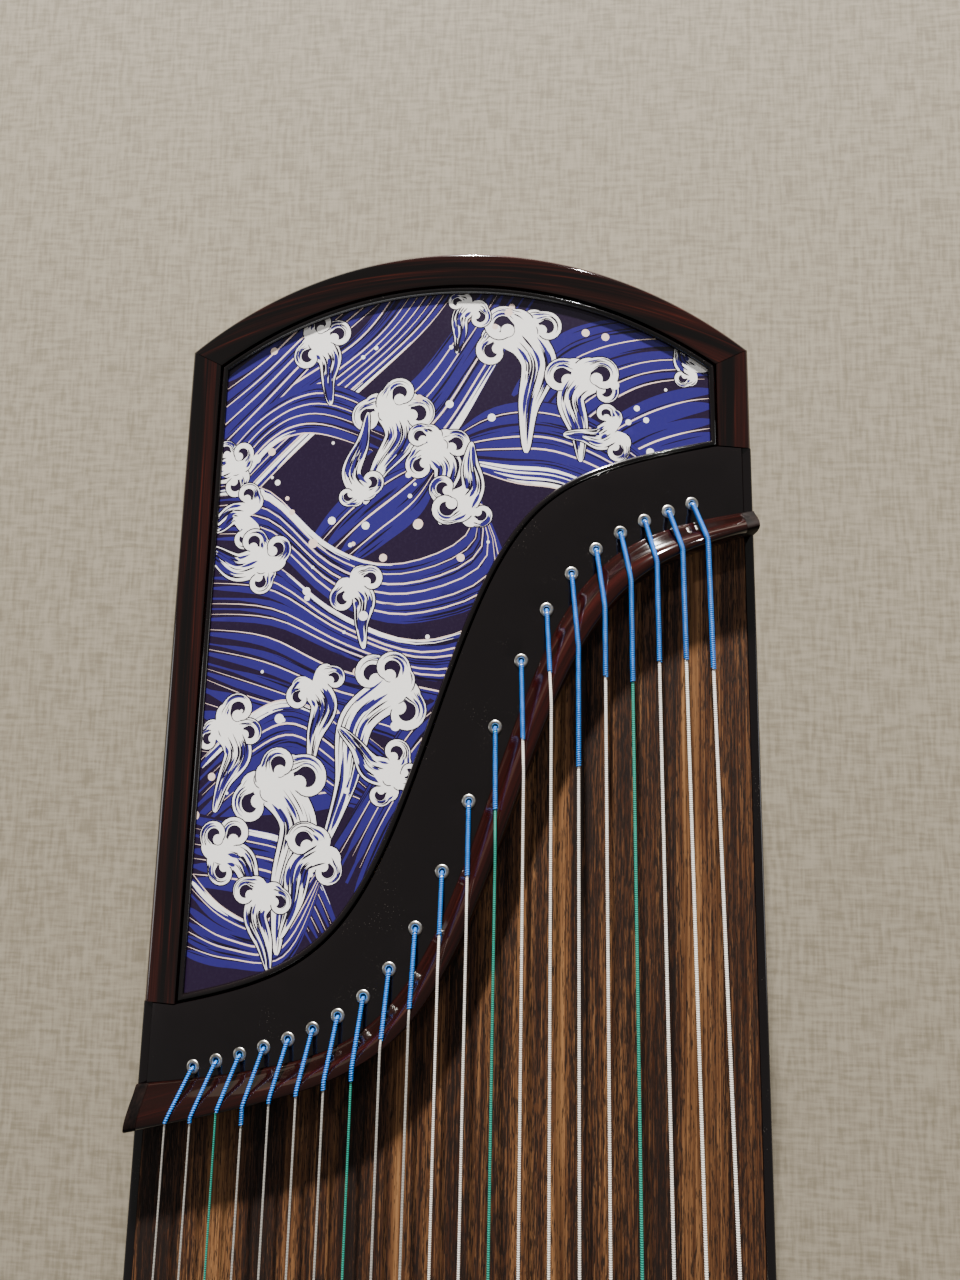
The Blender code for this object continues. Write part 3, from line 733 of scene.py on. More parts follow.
def streaks(art, line, widths, count, thickness):
    """Brush marks that run along a limb of foam, inside its width."""
    dice = art.dice
    for i in range(count):
        share = -0.82 + 1.64 * (i + dice.random()) / count
        mark = [beside(line, k, share * width) for k, width in enumerate(widths)]
        begin = dice.uniform(0.0, 0.55)
        ink, wide = ("indigo", 2.0) if i % 3 == 1 else ("deep", 1.0)
        thick = dice.uniform(0.6, 1.3) * thickness * wide
        end = min(1.0, begin + dice.uniform(0.25, 0.5))
        art.brush(ink, mark, thick, begin, end, dice.uniform(0.3, 0.6))


def curl(art, base, entry, heading, radius, turn, root_width):
    """A limb of foam that runs from its base to its entry, hooks round and ends in a round drop."""
    start = heading - turn * pi / 2
    cx, cy = entry[0] - radius * cos(start), entry[1] - radius * sin(start)
    back = (entry[0] - 0.9 * radius * cos(heading), entry[1] - 0.9 * radius * sin(heading))
    path = smooth_line([base, back, entry], 6)
    lead = len(path)
    swelling = [radius * (0.33 * i / lead + 0.1 * sin(pi * i / lead)) for i in range(lead)]
    widths = [root_width * (1 - i / lead) + swelling[i] for i in range(lead)]
    for i in range(1, 17):
        share = i / 16
        reach, angle = radius * (1 - 0.58 * share**2.4), start + turn * SPAN * share
        path.append((cx + reach * cos(angle), cy + reach * sin(angle)))
        widths.append(radius * (0.33 - 0.12 * share))
    drop = (*path[-1], radius * 0.43)
    art.disc("ground", cx, cy, radius * 0.85, 20)
    first = lead // 2
    art.ribbon("deep", path[first:], [w + 0.6 * MM for w in widths[first:]])
    art.disc("deep", drop[0], drop[1], drop[2] + 0.4 * MM)
    art.ribbon("white", path, widths)
    art.disc("white", *drop)
    bend = slice(max(0, lead - 7), lead + 9)
    streaks(art, path[bend], widths[bend], 6, 0.30 * MM)


def foam(art, t, v, heading, size, curls, length, bend):
    """A breaking crest: a broad stem of foam with brush marks in it, which opens into curls."""
    dice = art.dice
    x, y, size = X_TAIL + t * MM, v * MM, size * MM
    ux, uy = cos(heading), sin(heading)

    def spot(ahead, aside):
        return x + (ux * ahead - uy * aside) * size, y + (uy * ahead + ux * aside) * size

    bends = (-length, bend * 1.5), (-0.62 * length, bend * 0.8), (-0.28 * length, -bend * 0.12), (0.1, 0.0)
    stem = smooth_line([spot(*place) for place in bends], 10)
    rise = [i / (len(stem) - 1) for i in range(len(stem))]
    widths = [size * (0.04 + 0.60 * s**0.75) * (1 + 0.10 * sin(9 * s + bend * 3)) for s in rise]
    art.ribbon("deep", stem, [w + 0.7 * MM for w in widths])
    art.ribbon("white", stem, widths)
    streaks(art, stem, widths, 13, 0.48 * MM)
    fan = [-1.1 + 2.2 * i / (curls - 1) for i in range(curls)]
    for spread in sorted(fan, key=lambda a: -abs(a)):
        offset = spread + dice.uniform(-0.15, 0.15)
        angle, reach = heading + offset, size * dice.uniform(0.7, 1.1)
        radius = size * dice.uniform(0.36, 0.52)
        turn = 1 if offset > 0 else -1
        if abs(offset) < 0.2:
            turn = dice.choice((-1, 1))
        entry, root = (x + reach * cos(angle), y + reach * sin(angle)), spot(-0.35, 0.0)
        for share in (0.4, 0.75):
            lobe_x = root[0] + (entry[0] - root[0]) * share + sin(angle) * turn * size * 0.24
            lobe_y = root[1] + (entry[1] - root[1]) * share - cos(angle) * turn * size * 0.24
            art.disc("deep", lobe_x, lobe_y, size * 0.23 + 0.5 * MM)
            art.disc("white", lobe_x, lobe_y, size * 0.23)
        curl(art, root, entry, angle + turn * 0.5, radius, turn, size * 0.34)
    art.disc("white", *spot(-0.15, 0.0), size * 0.34, 20)
    streaks(art, stem[-18:], widths[-18:], 8, 0.42 * MM)
    for _ in range(dice.randint(2, 5)):
        angle, reach = heading + dice.uniform(-1.9, 1.9), size * dice.uniform(1.8, 2.6)
        ink = dice.choice(("cream", "white", "white"))
        radius = dice.choice((0.8, 1.1, 1.5, 2.0, 2.4)) * MM
        art.disc(ink, x + reach * cos(angle), y + reach * sin(angle), radius)


# %% The picture
# Each sheet of water is (first line, last line, number of bands, strokes of spray), with far ones first
WATER = (
    (((30, -132), (26, -60), (20, 0), (14, 60)), ((8, -132), (6, -60), (4, 0), (6, 60)), 3, 0),
    (((150, -132), (112, -96), (78, -60), (40, -20), (12, 0)),
     ((96, -132), (66, -96), (42, -56), (10, -34)), 8, 2),
    (((112, -132), (84, -105), (50, -72), (22, -40)), ((60, -132), (45, -105), (28, -84), (12, -60)), 5, 0),
    (((124, -30), (98, -6), (60, 16), (20, 40)), ((90, -60), (66, -26), (40, -6), (14, 10)), 6, 2),
    (((120, 40), (88, 60), (66, 92), (60, 134)), ((70, 24), (40, 50), (30, 92), (34, 134)), 6, 0),
    (((130, 70), (112, 96), (100, 134)), ((104, 50), (80, 80), (66, 110), (62, 134)), 5, 3),
    (((150, -132), (104, -104), (92, -78), (104, -40)),
     ((104, -132), (78, -104), (66, -70), (84, -30)), 5, 2),
    (((150, -80), (128, -62), (112, -40), (104, -8)),
     ((160, -50), (150, -36), (132, -16), (104, -8)), 4, 0),
    (((104, -14), (118, 24), (122, 52), (140, 92), (170, 120)),
     ((104, -14), (80, 14), (78, 48), (96, 84), (124, 116)), 7, 4),
    (((118, -132), (120, -100), (150, -66), (160, -30), (142, 6), (104, -2)),
     ((148, -132), (152, -96), (180, -60), (190, -20), (168, 24), (104, -2)), 6, 3),
    (((152, -132), (158, -96), (184, -60), (198, -16), (178, 28), (140, 56)),
     ((190, -132), (192, -92), (208, -50), (218, -4), (202, 44), (170, 74)), 7, 2),
    (((192, -132), (196, -96), (212, -60), (220, -20), (226, 20), (220, 50)),
     ((216, -132), (228, -96), (238, -60), (246, -30), (262, 10), (250, 40)), 5, 0),
    (((216, -132), (226, -104), (232, -80), (240, -50), (262, -20)),
     ((290, -132), (286, -104), (282, -70), (280, -46), (300, -20)), 6, 0),
    (((262, -132), (236, -104), (228, -80), (246, -50), (280, -30)),
     ((300, -132), (276, -104), (262, -80), (276, -56), (280, -30)), 6, 3),
    (((240, 16), (262, -6), (292, -26), (330, -40)),
     ((226, -12), (240, -26), (270, -42), (300, -60)), 5, 2),
    (((284, -132), (290, -104), (300, -72), (340, -50)),
     ((322, -132), (322, -108), (326, -84), (350, -64)), 5, 2),
    (((312, -132), (330, -112), (334, -88), (300, -58)),
     ((356, -132), (358, -108), (352, -76), (300, -58)), 6, 2),
)
# Each crest is (place along, place across, heading, size, number of curls, length of stem, bend of stem)
CRESTS = (
    (46, -74, -2.6, 11.7, 3, 2.6, 0.6), (44, 30, -2.7, 17.1, 3, 3.2, 0.9),
    (28, 2, 2.6, 9, 2, 2.6, -0.6), (66, 60, 2.7, 14.4, 3, 2.6, -0.8),
    (56, 116, 0.9, 9, 2, 2.2, 0.6), (92, 74, 2.0, 10.8, 2, 2.0, 0.5),
    (84, -34, 3.3, 15.3, 3, 2.8, 0.9), (104, -12, -2.6, 13.5, 3, 2.4, 0.8),
    (128, 2, -0.5, 12.6, 3, 2.2, -0.6), (122, -50, 0.4, 9.9, 2, 3.6, 1.2),
    (108, -120, 1.9, 10.8, 3, 2.0, 0.5), (134, -112, 1.5, 11.7, 2, 1.8, -0.6),
    (158, -104, 1.7, 13.5, 3, 2.8, 0.8), (172, -52, -2.5, 10.8, 2, 2.6, 0.8),
    (222, -70, -2.7, 12.6, 2, 2.8, 0.9), (224, -32, 2.4, 17.1, 3, 4.4, -1.1),
    (246, -112, -2.9, 13.5, 3, 2.6, 0.8), (262, -32, 1.2, 11.7, 3, 2.6, 0.6),
    (272, -86, -2.7, 18.9, 3, 3.8, 1.1), (302, -64, 2.3, 13.5, 2, 3.0, -0.9),
    (304, -112, -2.0, 12.6, 3, 2.6, 0.8), (324, -92, 2.9, 12.6, 2, 2.6, -0.7),
)


def draw_waves():
    art = Print(11)
    for first, last, bands, spray in WATER:
        swell(art, guide(*first), guide(*last), bands, spray)
    for place in CRESTS:
        foam(art, *place)
    return art.strokes


strokes = draw_waves()
print("strokes of ink:", len(strokes))

# %% [markdown]
# Strokes lie over one another, but a print is one flat sheet. So the edges that can be seen all go into
# one Delaunay net, which cuts them where they cross. Each small triangle then takes the ink of the last
# stroke laid over its middle, and the sheet stays a single smooth surface. To find that stroke quickly,
# the patches of all strokes are sorted into square cells first.

# %% One sheet from all the strokes
INKS = {
    "ground": rgb("1d1029"),
    "deep": rgb("150c20"),
    "indigo": rgb("29206a"),
    "cream": rgb("f0d6c8"),
    "white": rgb("fdfaf7"),
}
CELL = 3 * MM
SPECK = 2e-6  # edges shorter than this are left out


def cells_of(strokes):
    """For each square cell, the patches that reach into it, as pairs of rank and corners."""
    cells = {}
    for rank, (_, left, right) in enumerate(strokes):
        for patch in zip(left, left[1:], right[1:], right):
            low = [floor(min(values) / CELL) for values in zip(*patch)]
            high = [floor(max(values) / CELL) for values in zip(*patch)]
            for i in range(low[0], high[0] + 1):
                for j in range(low[1], high[1] + 1):
                    cells.setdefault((i, j), []).append((rank, patch))
    return cells


def rank_at(cells, x, y):
    """The rank of the last stroke that covers a point, or -1 on bare paper."""
    for rank, patch in reversed(cells.get((floor(x / CELL), floor(y / CELL)), ())):
        if is_inside(x, y, patch):
            return rank
    return -1


def printed_net(outline, strokes, spacing):
    """Points, triangles and inks of the sheet."""
    cells = cells_of(strokes)
    points, edges = list(outline), []
    for rank, (_, left, right) in enumerate(strokes):
        loop = left + right[::-1]
        for a, b in zip(loop, loop[1:] + loop[:1]):
            places = [(a[0] + (b[0] - a[0]) * s, a[1] + (b[1] - a[1]) * s) for s in (0.03, 0.5, 0.97)]
            seen = any(rank_at(cells, *place) <= rank for place in places)
            if seen and hypot(b[0] - a[0], b[1] - a[1]) > SPECK:
                edges.append((len(points), len(points) + 1))
                points += [a, b]
    xs = [x for x, y in outline]
    reach = int(TAIL_HALF / spacing) + 4
    for i in range(1, int((max(xs) - min(xs)) / spacing)):
        for j in range(-reach, reach + 1):
            x, y = min(xs) + i * spacing, j * spacing
            if is_inside(x, y, outline):
                points.append((x, y))
    inside = [list(range(len(outline)))]
    flat = [Vector(((x - X_TAIL) / MM, y / MM)) for x, y in points]
    verts, _, net, _, _, owners = delaunay_2d_cdt(flat, edges, inside, 0, 1e-3, True)
    net = [tuple(face) for face, owner in zip(net, owners) if owner]
    used = sorted({v for face in net for v in face})
    place = {v: i for i, v in enumerate(used)}
    plan = [(X_TAIL + verts[v].x * MM, verts[v].y * MM) for v in used]
    net = [tuple(place[v] for v in face) for face in net]
    inks = []
    for face in net:
        rank = rank_at(cells, *(sum(plan[v][axis] for v in face) / len(face) for axis in (0, 1)))
        inks.append(strokes[rank][0] if rank >= 0 else "ground")
    return plan, net, inks


def print_recipe(start):
    ink = start.add("ShaderNodeAttribute", {"attribute_name": "ink"})
    paper = noise(stretched(place_of(start), 700.0, 700.0, 1.0), 3.0, 0.6)
    cloud = noise(stretched(place_of(start), 18.0, 18.0, 1.0), 2.0)
    return {
        "Base Color": mixed(fade(paper, 0.45, 0.75) * 0.04, ink, rgb("5a5470")),
        "Roughness": cloud * 0.10 + paper * 0.06 + 0.16,
        "Normal": bump(cloud, 0.0004, 0.06),
    }


def wave_panel(outline):
    plan, net, inks = printed_net(outline, strokes, 0.009)
    count = len(plan)
    points = [(x, y, top_z(x, y) - PANEL_SINK) for x, y in plan]
    forward = {(a, b) for face in net for a, b in zip(face, face[1:] + face[:1])}
    follow = {b: a for a, b in forward if (b, a) not in forward}
    loop = [next(iter(follow))]
    while follow[loop[-1]] != loop[0]:
        loop.append(follow[loop[-1]])
    points += [(points[v][0], points[v][1], top_z(*points[v][:2]) - DECK) for v in loop]
    size = len(loop)
    walls = [(loop[i], loop[(i + 1) % size], count + (i + 1) % size, count + i) for i in range(size)]
    faces = net + walls + [tuple(count + i for i in range(size))]
    mesh = bpy.data.meshes.new("wave_panel_print")
    mesh.from_pydata(points, [], faces)
    colours = mesh.color_attributes.new("ink", "FLOAT_COLOR", "CORNER")
    flat = []
    for polygon in mesh.polygons:
        ink = INKS[inks[polygon.index] if polygon.index < len(inks) else "deep"]
        flat += ink * polygon.loop_total
    colours.data.foreach_set("color", flat)
    mesh.materials.append(finish("wave_print", print_recipe, Coat_Weight=0.35, Coat_Roughness=0.05))
    mesh.shade_smooth()
    mesh.set_sharp_from_angle(angle=pi / 4)
    return settle(placed("wave_panel_print", mesh), "root", "printed_panel", "wave_panel")


wave_panel(panel_outline(GAP))

# %% [markdown]
# The tail board is black lacquer, with a nickel eyelet at each of the 21 string holes. The eyelets are
# one small ring repeated along a curved line, so a Geometry Nodes tree sets them: it reads points that
# carry the direction of the surface, and puts a flattened ring on each.

# %% Tail board
STRINGS, MIDDLE = 21, 11
HOLE_SHIFT, HOLE_STEP = -0.0038, 0.01188


def hole_place(number):
    y = HOLE_SHIFT + HOLE_STEP * (number - MIDDLE)
    return s_line(HOLE_LINE, y), y


def make_tail_board():
    upper = s_points(PANEL_LINE, RIM_BAND, BEAD + GAP)
    lower = s_points(BRIDGE_HEAD_LINE, INNER, -BOARD_SEAM - GAP)
    outline = [side_point(upper[0][0] + GAP, INNER, -1), *lower, side_point(upper[-1][0] + GAP, INNER, 1)]
    outline += [(upper[-1][0] + GAP, upper[-1][1] + GAP), *reversed(upper[1:-1])]
    outline += [(upper[0][0] + GAP, upper[0][1] - GAP)]
    holes = [ring_points(*hole_place(n), 0.0021, 16) for n in range(1, STRINGS + 1)]
    shell = board(outline, top_z, raised(-DECK), holes)
    piece = new_piece("tail_board_face", [shell], lacquer, bevel=0.0003)
    settle(piece, "root", "black_lacquer", "tail_board")


make_tail_board()


# %% Geometry Nodes: a tree from Python
class Tree:
    """A Geometry Nodes tree whose inputs have names, built node by node."""

    def __init__(self, name, **inputs):
        self.group = bpy.data.node_groups.new(name, "GeometryNodeTree")
        self.group.interface.new_socket("Geometry", in_out="OUTPUT", socket_type="NodeSocketGeometry")
        self.group.interface.new_socket("Geometry", in_out="INPUT", socket_type="NodeSocketGeometry")
        for label, kind in inputs.items():
            self.group.interface.new_socket(label, in_out="INPUT", socket_type=f"NodeSocket{kind}")
        self.inputs = self.group.nodes.new("NodeGroupInput").outputs

    def add(self, kind, settings=None, inputs=None, output=0):
        node = self.group.nodes.new(kind)
        for name, value in (settings or {}).items():
            setattr(node, name, value)
        for key, value in (inputs or {}).items():
            if isinstance(value, bpy.types.NodeSocket):
                self.group.links.new(value, node.inputs[key])
            else:
                node.inputs[key].default_value = value
        return node.outputs[output]

    def maths(self, operation, a, b=0.0):
        return self.add("ShaderNodeMath", {"operation": operation}, {0: a, 1: b})

    def vectors(self, operation, a, b):
        return self.add("ShaderNodeVectorMath", {"operation": operation}, {0: a, 1: b})

    def swept(self, curve, sides, radius):
        """A round bar with closed ends along a curve."""
        settings = {"Resolution": sides, "Radius": radius}
        profile = self.add("GeometryNodeCurvePrimitiveCircle", None, settings)
        inputs = {"Curve": curve, "Profile Curve": profile, "Fill Caps": True}
        return self.add("GeometryNodeCurveToMesh", None, inputs)

    def close(self, geometry, material):
        """The end of every tree: real meshes instead of instances, and their finish."""
        real = self.add("GeometryNodeRealizeInstances", None, {0: geometry})
        done = self.add("GeometryNodeSetMaterial", None, {"Geometry": real, "Material": material})
        output = self.group.nodes.new("NodeGroupOutput")
        self.group.links.new(done, output.inputs[0])


def grown(name, tree, points, edges, material, values, vectors=None):
    """Runs a tree on a mesh of points and edges, and keeps the result as a plain mesh."""
    mesh = bpy.data.meshes.new(name)
    mesh.from_pydata([tuple(p) for p in points], edges, [])
    for label, rows in (vectors or {}).items():
        mesh.attributes.new(label, "FLOAT_VECTOR", "POINT")
        mesh.attributes[label].data.foreach_set("vector", [c for row in rows for c in row])
    obj = placed(name, mesh)
    modifier = obj.modifiers.new("tree", "NODES")
    modifier.node_group = tree.group
    named = {s.name: s.identifier for s in tree.group.interface.items_tree if s.in_out == "INPUT"}
    for label, value in {**values, "Finish": material}.items():
        modifier[named[label]] = value
    obj = frozen(obj)
    obj.data.shade_smooth()
    return obj


# %% Eyelets
def eyelet_tree():
    tree = Tree("eyelet row", Ring="Float", Rim="Float", Flatness="Float", Finish="Material")
    settings = {"Resolution": 28, "Radius": tree.inputs["Ring"]}
    ring = tree.add("GeometryNodeCurvePrimitiveCircle", None, settings)
    turned = tree.swept(ring, 12, tree.inputs["Rim"])
    scale = tree.add("ShaderNodeCombineXYZ", None, {0: 1.0, 1: 1.0, 2: tree.inputs["Flatness"]})
    flat = tree.add("GeometryNodeTransform", None, {"Geometry": turned, "Scale": scale})
    up = tree.add("GeometryNodeInputNamedAttribute", {"data_type": "FLOAT_VECTOR"}, {"Name": "up"})
    facing = tree.add("FunctionNodeAlignRotationToVector", {"axis": "Z"}, {"Vector": up})
    inputs = {"Points": tree.inputs["Geometry"], "Instance": flat, "Rotation": facing}
    rings = tree.add("GeometryNodeInstanceOnPoints", None, inputs)
    tree.close(rings, tree.inputs["Finish"])
    return tree


def surface_up(x, y):
    rise = (top_z(x, y + MM) - top_z(x, y - MM)) / (2 * MM)
    return Vector((0, -rise, 1)).normalized()


spots = [hole_place(n) for n in range(1, STRINGS + 1)]
ring_places = [(x, y, top_z(x, y) + 0.0001) for x, y in spots]
ring_sizes = {"Ring": 0.0024, "Rim": 0.00098, "Flatness": 0.6}
ups = {"up": [surface_up(x, y) for x, y in spots]}
eyelets = grown("eyelets", eyelet_tree(), ring_places, [], nickel, ring_sizes, ups)
settle(eyelets, "root", "nickel")

# %% [markdown]
# The tail bridge is a bar of polished red rosewood that follows an S across the body. Its section
# swells from a thin toe to a crest near the head side and then drops. A loft takes that section from
# side to side. Its ends carry small black caps that stand a little proud.

# %% Tail bridge
CREST_HEIGHT, BRIDGE_TOE, CREST_PLACE = 0.0130, 0.0015, 0.86


def tail_bridge_height(share):
    if share <= CREST_PLACE:
        rise = sin(max(share, 0.0) / CREST_PLACE * pi / 2) ** 1.4
        return BRIDGE_TOE + (CREST_HEIGHT - BRIDGE_TOE) * rise
    drop = (share - CREST_PLACE) / (1 - CREST_PLACE)
    return CREST_HEIGHT * (1 - 0.35 * drop**2)


def ridge_ring(across, tail_x, head_x, height, shares, swell=0.0):
    """Points round a bar's section at this share of the body's half width, -1 to 1."""
    ring = []
    for share in (*shares, shares[-1], shares[0]):
        y = across * TAIL_HALF
        for _ in range(8):
            x = tail_x(y) * (1 - share) + head_x(y) * share
            y = across * half_width(x)
        rise = GAP if len(ring) >= len(shares) else GAP + height(share) + swell
        ring.append((x, y, top_z(x, y) + rise))
    return ring


BRIDGE_SHARES = [0, 0.015, 0.04, *[0.08 + 0.07 * i for i in range(11)]]
BRIDGE_SHARES += [0.83, 0.87, 0.91, 0.94, 0.965, 0.985, 1]


def rounded_crest(share):
    """The bridge's height, with its head-side edge eased over."""
    ease = max(0.0, (share - 0.93) / 0.07)
    toe = max(0.0, 1 - share / 0.03)
    return tail_bridge_height(share) * (1 - 0.16 * ease**3) - BRIDGE_TOE * 0.7 * toe**2


def tail_bridge_piece(name, stops, material, slot, swell=0.0):
    lines = (lambda y: s_line(BRIDGE_TAIL_LINE, y)), (lambda y: s_line(BRIDGE_HEAD_LINE, y))
    rings = [ridge_ring(a, *lines, rounded_crest, BRIDGE_SHARES, swell) for a in stops]

    def s_grain(p):
        run = sqrt(1 + s_tilt(BRIDGE_HEAD_LINE, p.y) ** 2)
        off = (p.x - s_line(BRIDGE_HEAD_LINE, p.y)) / run
        return (p.y * 0.6 + p.x * -0.8, off + p.z * 0.3)

    piece = new_piece(name, [loft(rings)], material, s_grain, sharp=50)
    return settle(piece, "root", slot)


CAP = 0.955  # where the caps begin, as a share of the half width
body_stops = [CAP * (2 * i / 200 - 1) for i in range(201)]
bridge_body = tail_bridge_piece("tail_bridge_body", body_stops, red_rosewood, "red_rosewood")
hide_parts("tail_bridge")
for side, label in SIDES:
    stops = [side * (CAP + 0.0006), side * 0.965, side * 0.98, side * 0.992, side * 0.9985]
    tail_bridge_piece(f"tail_bridge_cap_{label}", stops, ebony, "black_lacquer", 0.0002)

# %% [markdown]
# A string runs from its eyelet up the slope of the tail bridge, over the movable bridge and the front
# bridge, and down to its tuning pin. It is cut into parts at the movable bridge and the front bridge:
# the part up to the movable bridge, its blue wrapping and the part on to the front bridge are on no body,
# the part down to the pin rides on the root, and each pin's coil rides on its pin. One tree sweeps a
# round string along a path, and a second one winds a thread round a path, for the blue wrapping of
# the tail ends and for the coils on the pins.


# %% Places along a string
THINNEST, THICKENING = 0.0009, 0.0007  # of the strings' widths
SPREAD, NARROWING, DRIFT = 0.0137, 0.00095, 0.0030  # steps between strings, and their lean per metre
FIRST_BRIDGE, BRIDGE_STEP, STEP_GAIN = 0.133, 0.027, 0.0007  # distances of the bridges from the front one
LOW_BRIDGE, BRIDGE_RISE = 0.050, 0.010
FIRST_PIN, PIN_STEP, PIN_ASIDE = 0.062, 0.012, 0.0042
FRONT_HEIGHT, FRONT_WIDTH = 0.016, 0.014
COIL_LOW, COIL_MIDDLE = 0.0540, 0.058
LAST = STRINGS - 1


def string_radius(number):
    return (THINNEST + THICKENING * (number - 1) / LAST) / 2


def string_y(number, x):
    run = X_FRONT - x
    return (number - MIDDLE) * (SPREAD - NARROWING * run) - DRIFT * run


def bridge_x(number):
    n = number - 1
    return X_FRONT - FIRST_BRIDGE - BRIDGE_STEP * n - STEP_GAIN * n**2


def bridge_height(number):
    return LOW_BRIDGE + BRIDGE_RISE * (number - 1) / LAST


def pin_place(number):
    x = X_FRONT + FIRST_PIN + PIN_STEP * ((number - 1) % 3)
    return x, string_y(number, x) + PIN_ASIDE + string_radius(number) + GAP


def crest_point(number):
    x = X_SHOULDER
    for _ in range(60):
        y = string_y(number, x)
        tail_x, head_x = s_line(BRIDGE_TAIL_LINE, y), s_line(BRIDGE_HEAD_LINE, y)
        x += (tail_x + (head_x - tail_x) * CREST_PLACE - x) / 2
    return x, string_y(number, x)


def over_bridge(x, y):
    """Share of the way across the tail bridge at a point of the plan."""
    tail_x, head_x = s_line(BRIDGE_TAIL_LINE, y), s_line(BRIDGE_HEAD_LINE, y)
    return (x - tail_x) / (head_x - tail_x)


def front_bridge_height(share):
    return FRONT_HEIGHT * (0.6 + 0.4 * sin(share * pi))


def saddle_point(number):
    x = bridge_x(number)
    y = string_y(number, x)
    return x, y, top_z(x, y) + bridge_height(number) + GAP + string_radius(number) + GAP


def front_point(number, share=0.5):
    x = X_FRONT + (share - 0.5) * FRONT_WIDTH
    y = string_y(number, x)
    return x, y, top_z(x, y) + front_bridge_height(share) + 2 * GAP + string_radius(number)


def straight(start, end, first, steps):
    """Points on the straight way to the end, from this one of its steps on."""
    return [tuple(a + (b - a) * i / steps for a, b in zip(start, end)) for i in range(first, steps + 1)]


def tail_path(number):
    """From under the tail board to the top of the movable bridge."""
    radius = string_radius(number)
    hole_x, hole_y = hole_place(number)
    crest_x, crest_y = crest_point(number)
    ground = top_z(hole_x, hole_y)
    path = [(hole_x, hole_y, ground - 0.010), (hole_x, hole_y, ground - 0.0015)]
    path += [(hole_x + 0.0003, hole_y, ground - 0.0002), (hole_x + 0.0010, hole_y, ground + 0.0007)]
    for i in range(1, 25):
        share = i / 24
        x, y = hole_x + (crest_x - hole_x) * share, hole_y + (crest_y - hole_y) * share
        across = over_bridge(x, y)
        lift = tail_bridge_height(across) + GAP if across > 0 else 0.0
        path.append((x, y, top_z(x, y) + max(lift, 0.0009) + radius + 0.0004))
    tail = hull_over(path[4:])
    return path[:4] + tail + straight(tail[-1], saddle_point(number), 1, 24)


def hull_over(path):
    """The taut line over a row of points: only those that the string bears on set its height."""
    kept = [path[0]]
    for point in path[1:]:
        while len(kept) > 1:
            (x1, _, z1), (x2, _, z2) = kept[-2], kept[-1]
            if (z2 - z1) * (point[0] - x1) <= (point[2] - z1) * (x2 - x1):
                kept.pop()
            else:
                break
        kept.append(point)
    heights = []
    for x, y, _ in path:
        for a, b in zip(kept, kept[1:]):
            if a[0] <= x <= b[0]:
                share = (x - a[0]) / max(b[0] - a[0], 1e-9)
                heights.append((x, y, a[2] + (b[2] - a[2]) * share))
                break
    return heights


def front_path(number):
    start, end = saddle_point(number), front_point(number, 0.4)
    return [*straight(start, end, 0, 12), front_point(number)]


def head_path(number):
    pin_x, _ = pin_place(number)
    over = [front_point(number, share) for share in (0.5, 0.6, 0.75)]
    return [*over, (pin_x, string_y(number, pin_x), COIL_MIDDLE)]


# %% Trees for strings and windings
def string_tree():
    tree = Tree("round string", Radius="Float", Sides="Int", Finish="Material")
    curve = tree.add("GeometryNodeMeshToCurve", None, {"Mesh": tree.inputs["Geometry"]})
    length = tree.add("GeometryNodeSplineParameter", output=1)
    settings = {"data_type": "FLOAT", "domain": "POINT"}
    inputs = {"Geometry": curve, "Name": "along", "Value": length}
    marked = tree.add("GeometryNodeStoreNamedAttribute", settings, inputs)
    bar = tree.swept(marked, tree.inputs["Sides"], tree.inputs["Radius"])
    tree.close(bar, tree.inputs["Finish"])
    return tree


def winding_tree():
    tree = Tree("winding", Pitch="Float", Radius="Float", Thread="Float", Finish="Material")
    curve = tree.add("GeometryNodeMeshToCurve", None, {"Mesh": tree.inputs["Geometry"]})
    step = tree.maths("DIVIDE", tree.inputs["Pitch"], 8.0)
    fine = tree.add("GeometryNodeResampleCurve", {"mode": "LENGTH"}, {"Curve": curve, "Length": step})
    length = tree.add("GeometryNodeSplineParameter", output=1)
    turn = tree.maths("MULTIPLY", tree.maths("DIVIDE", length, tree.inputs["Pitch"]), 2 * pi)
    side = tree.add("GeometryNodeInputNormal")
    along = tree.add("GeometryNodeInputTangent")
    up = tree.vectors("CROSS_PRODUCT", along, side)
    offset = None
    for axis, wave in ((side, "COSINE"), (up, "SINE")):
        reach = tree.maths("MULTIPLY", tree.maths(wave, turn), tree.inputs["Radius"])
        part = tree.add("ShaderNodeVectorMath", {"operation": "SCALE"}, {0: axis, "Scale": reach})
        offset = part if offset is None else tree.vectors("ADD", offset, part)
    wound = tree.add("GeometryNodeSetPosition", None, {"Geometry": fine, "Offset": offset})
    tree.close(tree.swept(wound, 5, tree.inputs["Thread"]), tree.inputs["Finish"])
    return tree


# %% String finishes
def wound_recipe(light, dark, pitch):
    def recipe(start):
        along = start.add("ShaderNodeAttribute", {"attribute_name": "along"}, output=2)
        turns = along * (2 * pi / pitch)
        # The colour swings with each turn of the winding: darker in the grooves between turns as painted
        # shade, and lighter on the crests as painted highlight. The same wave also shapes the bump, and the
        # worn noise is real tone.
        coil = along.maths("SINE", turns, 0.0) * 0.5 + 0.5
        worn = noise(stretched(place_of(start), 60.0, 300.0, 300.0), 2.0)
        return {
            "Base Color": mixed(fade(coil + worn * 0.3, 0.25, 0.75), dark, light),
            "Roughness": worn * 0.25 + 0.28,
            "Normal": bump(coil, 0.00008, 0.8),
        }

    return recipe


# In each string finish the first colour is the painted lit crest of a turn and the second the painted shade
# in the grooves between turns.
white_string = finish("white_wound_string", wound_recipe(rgb("f4efe8"), rgb("8f877d"), 0.0009))
silver_string = finish("silver_string", wound_recipe(rgb("d8d4cc"), rgb("6f6a64"), 0.0006), Metallic=0.5)
green_string = finish("green_string", wound_recipe(rgb("1f9c86"), rgb("06352e"), 0.0009))
blue_thread = finish("blue_thread", wound_recipe(rgb("066ec8"), rgb("02225e"), 0.0007))

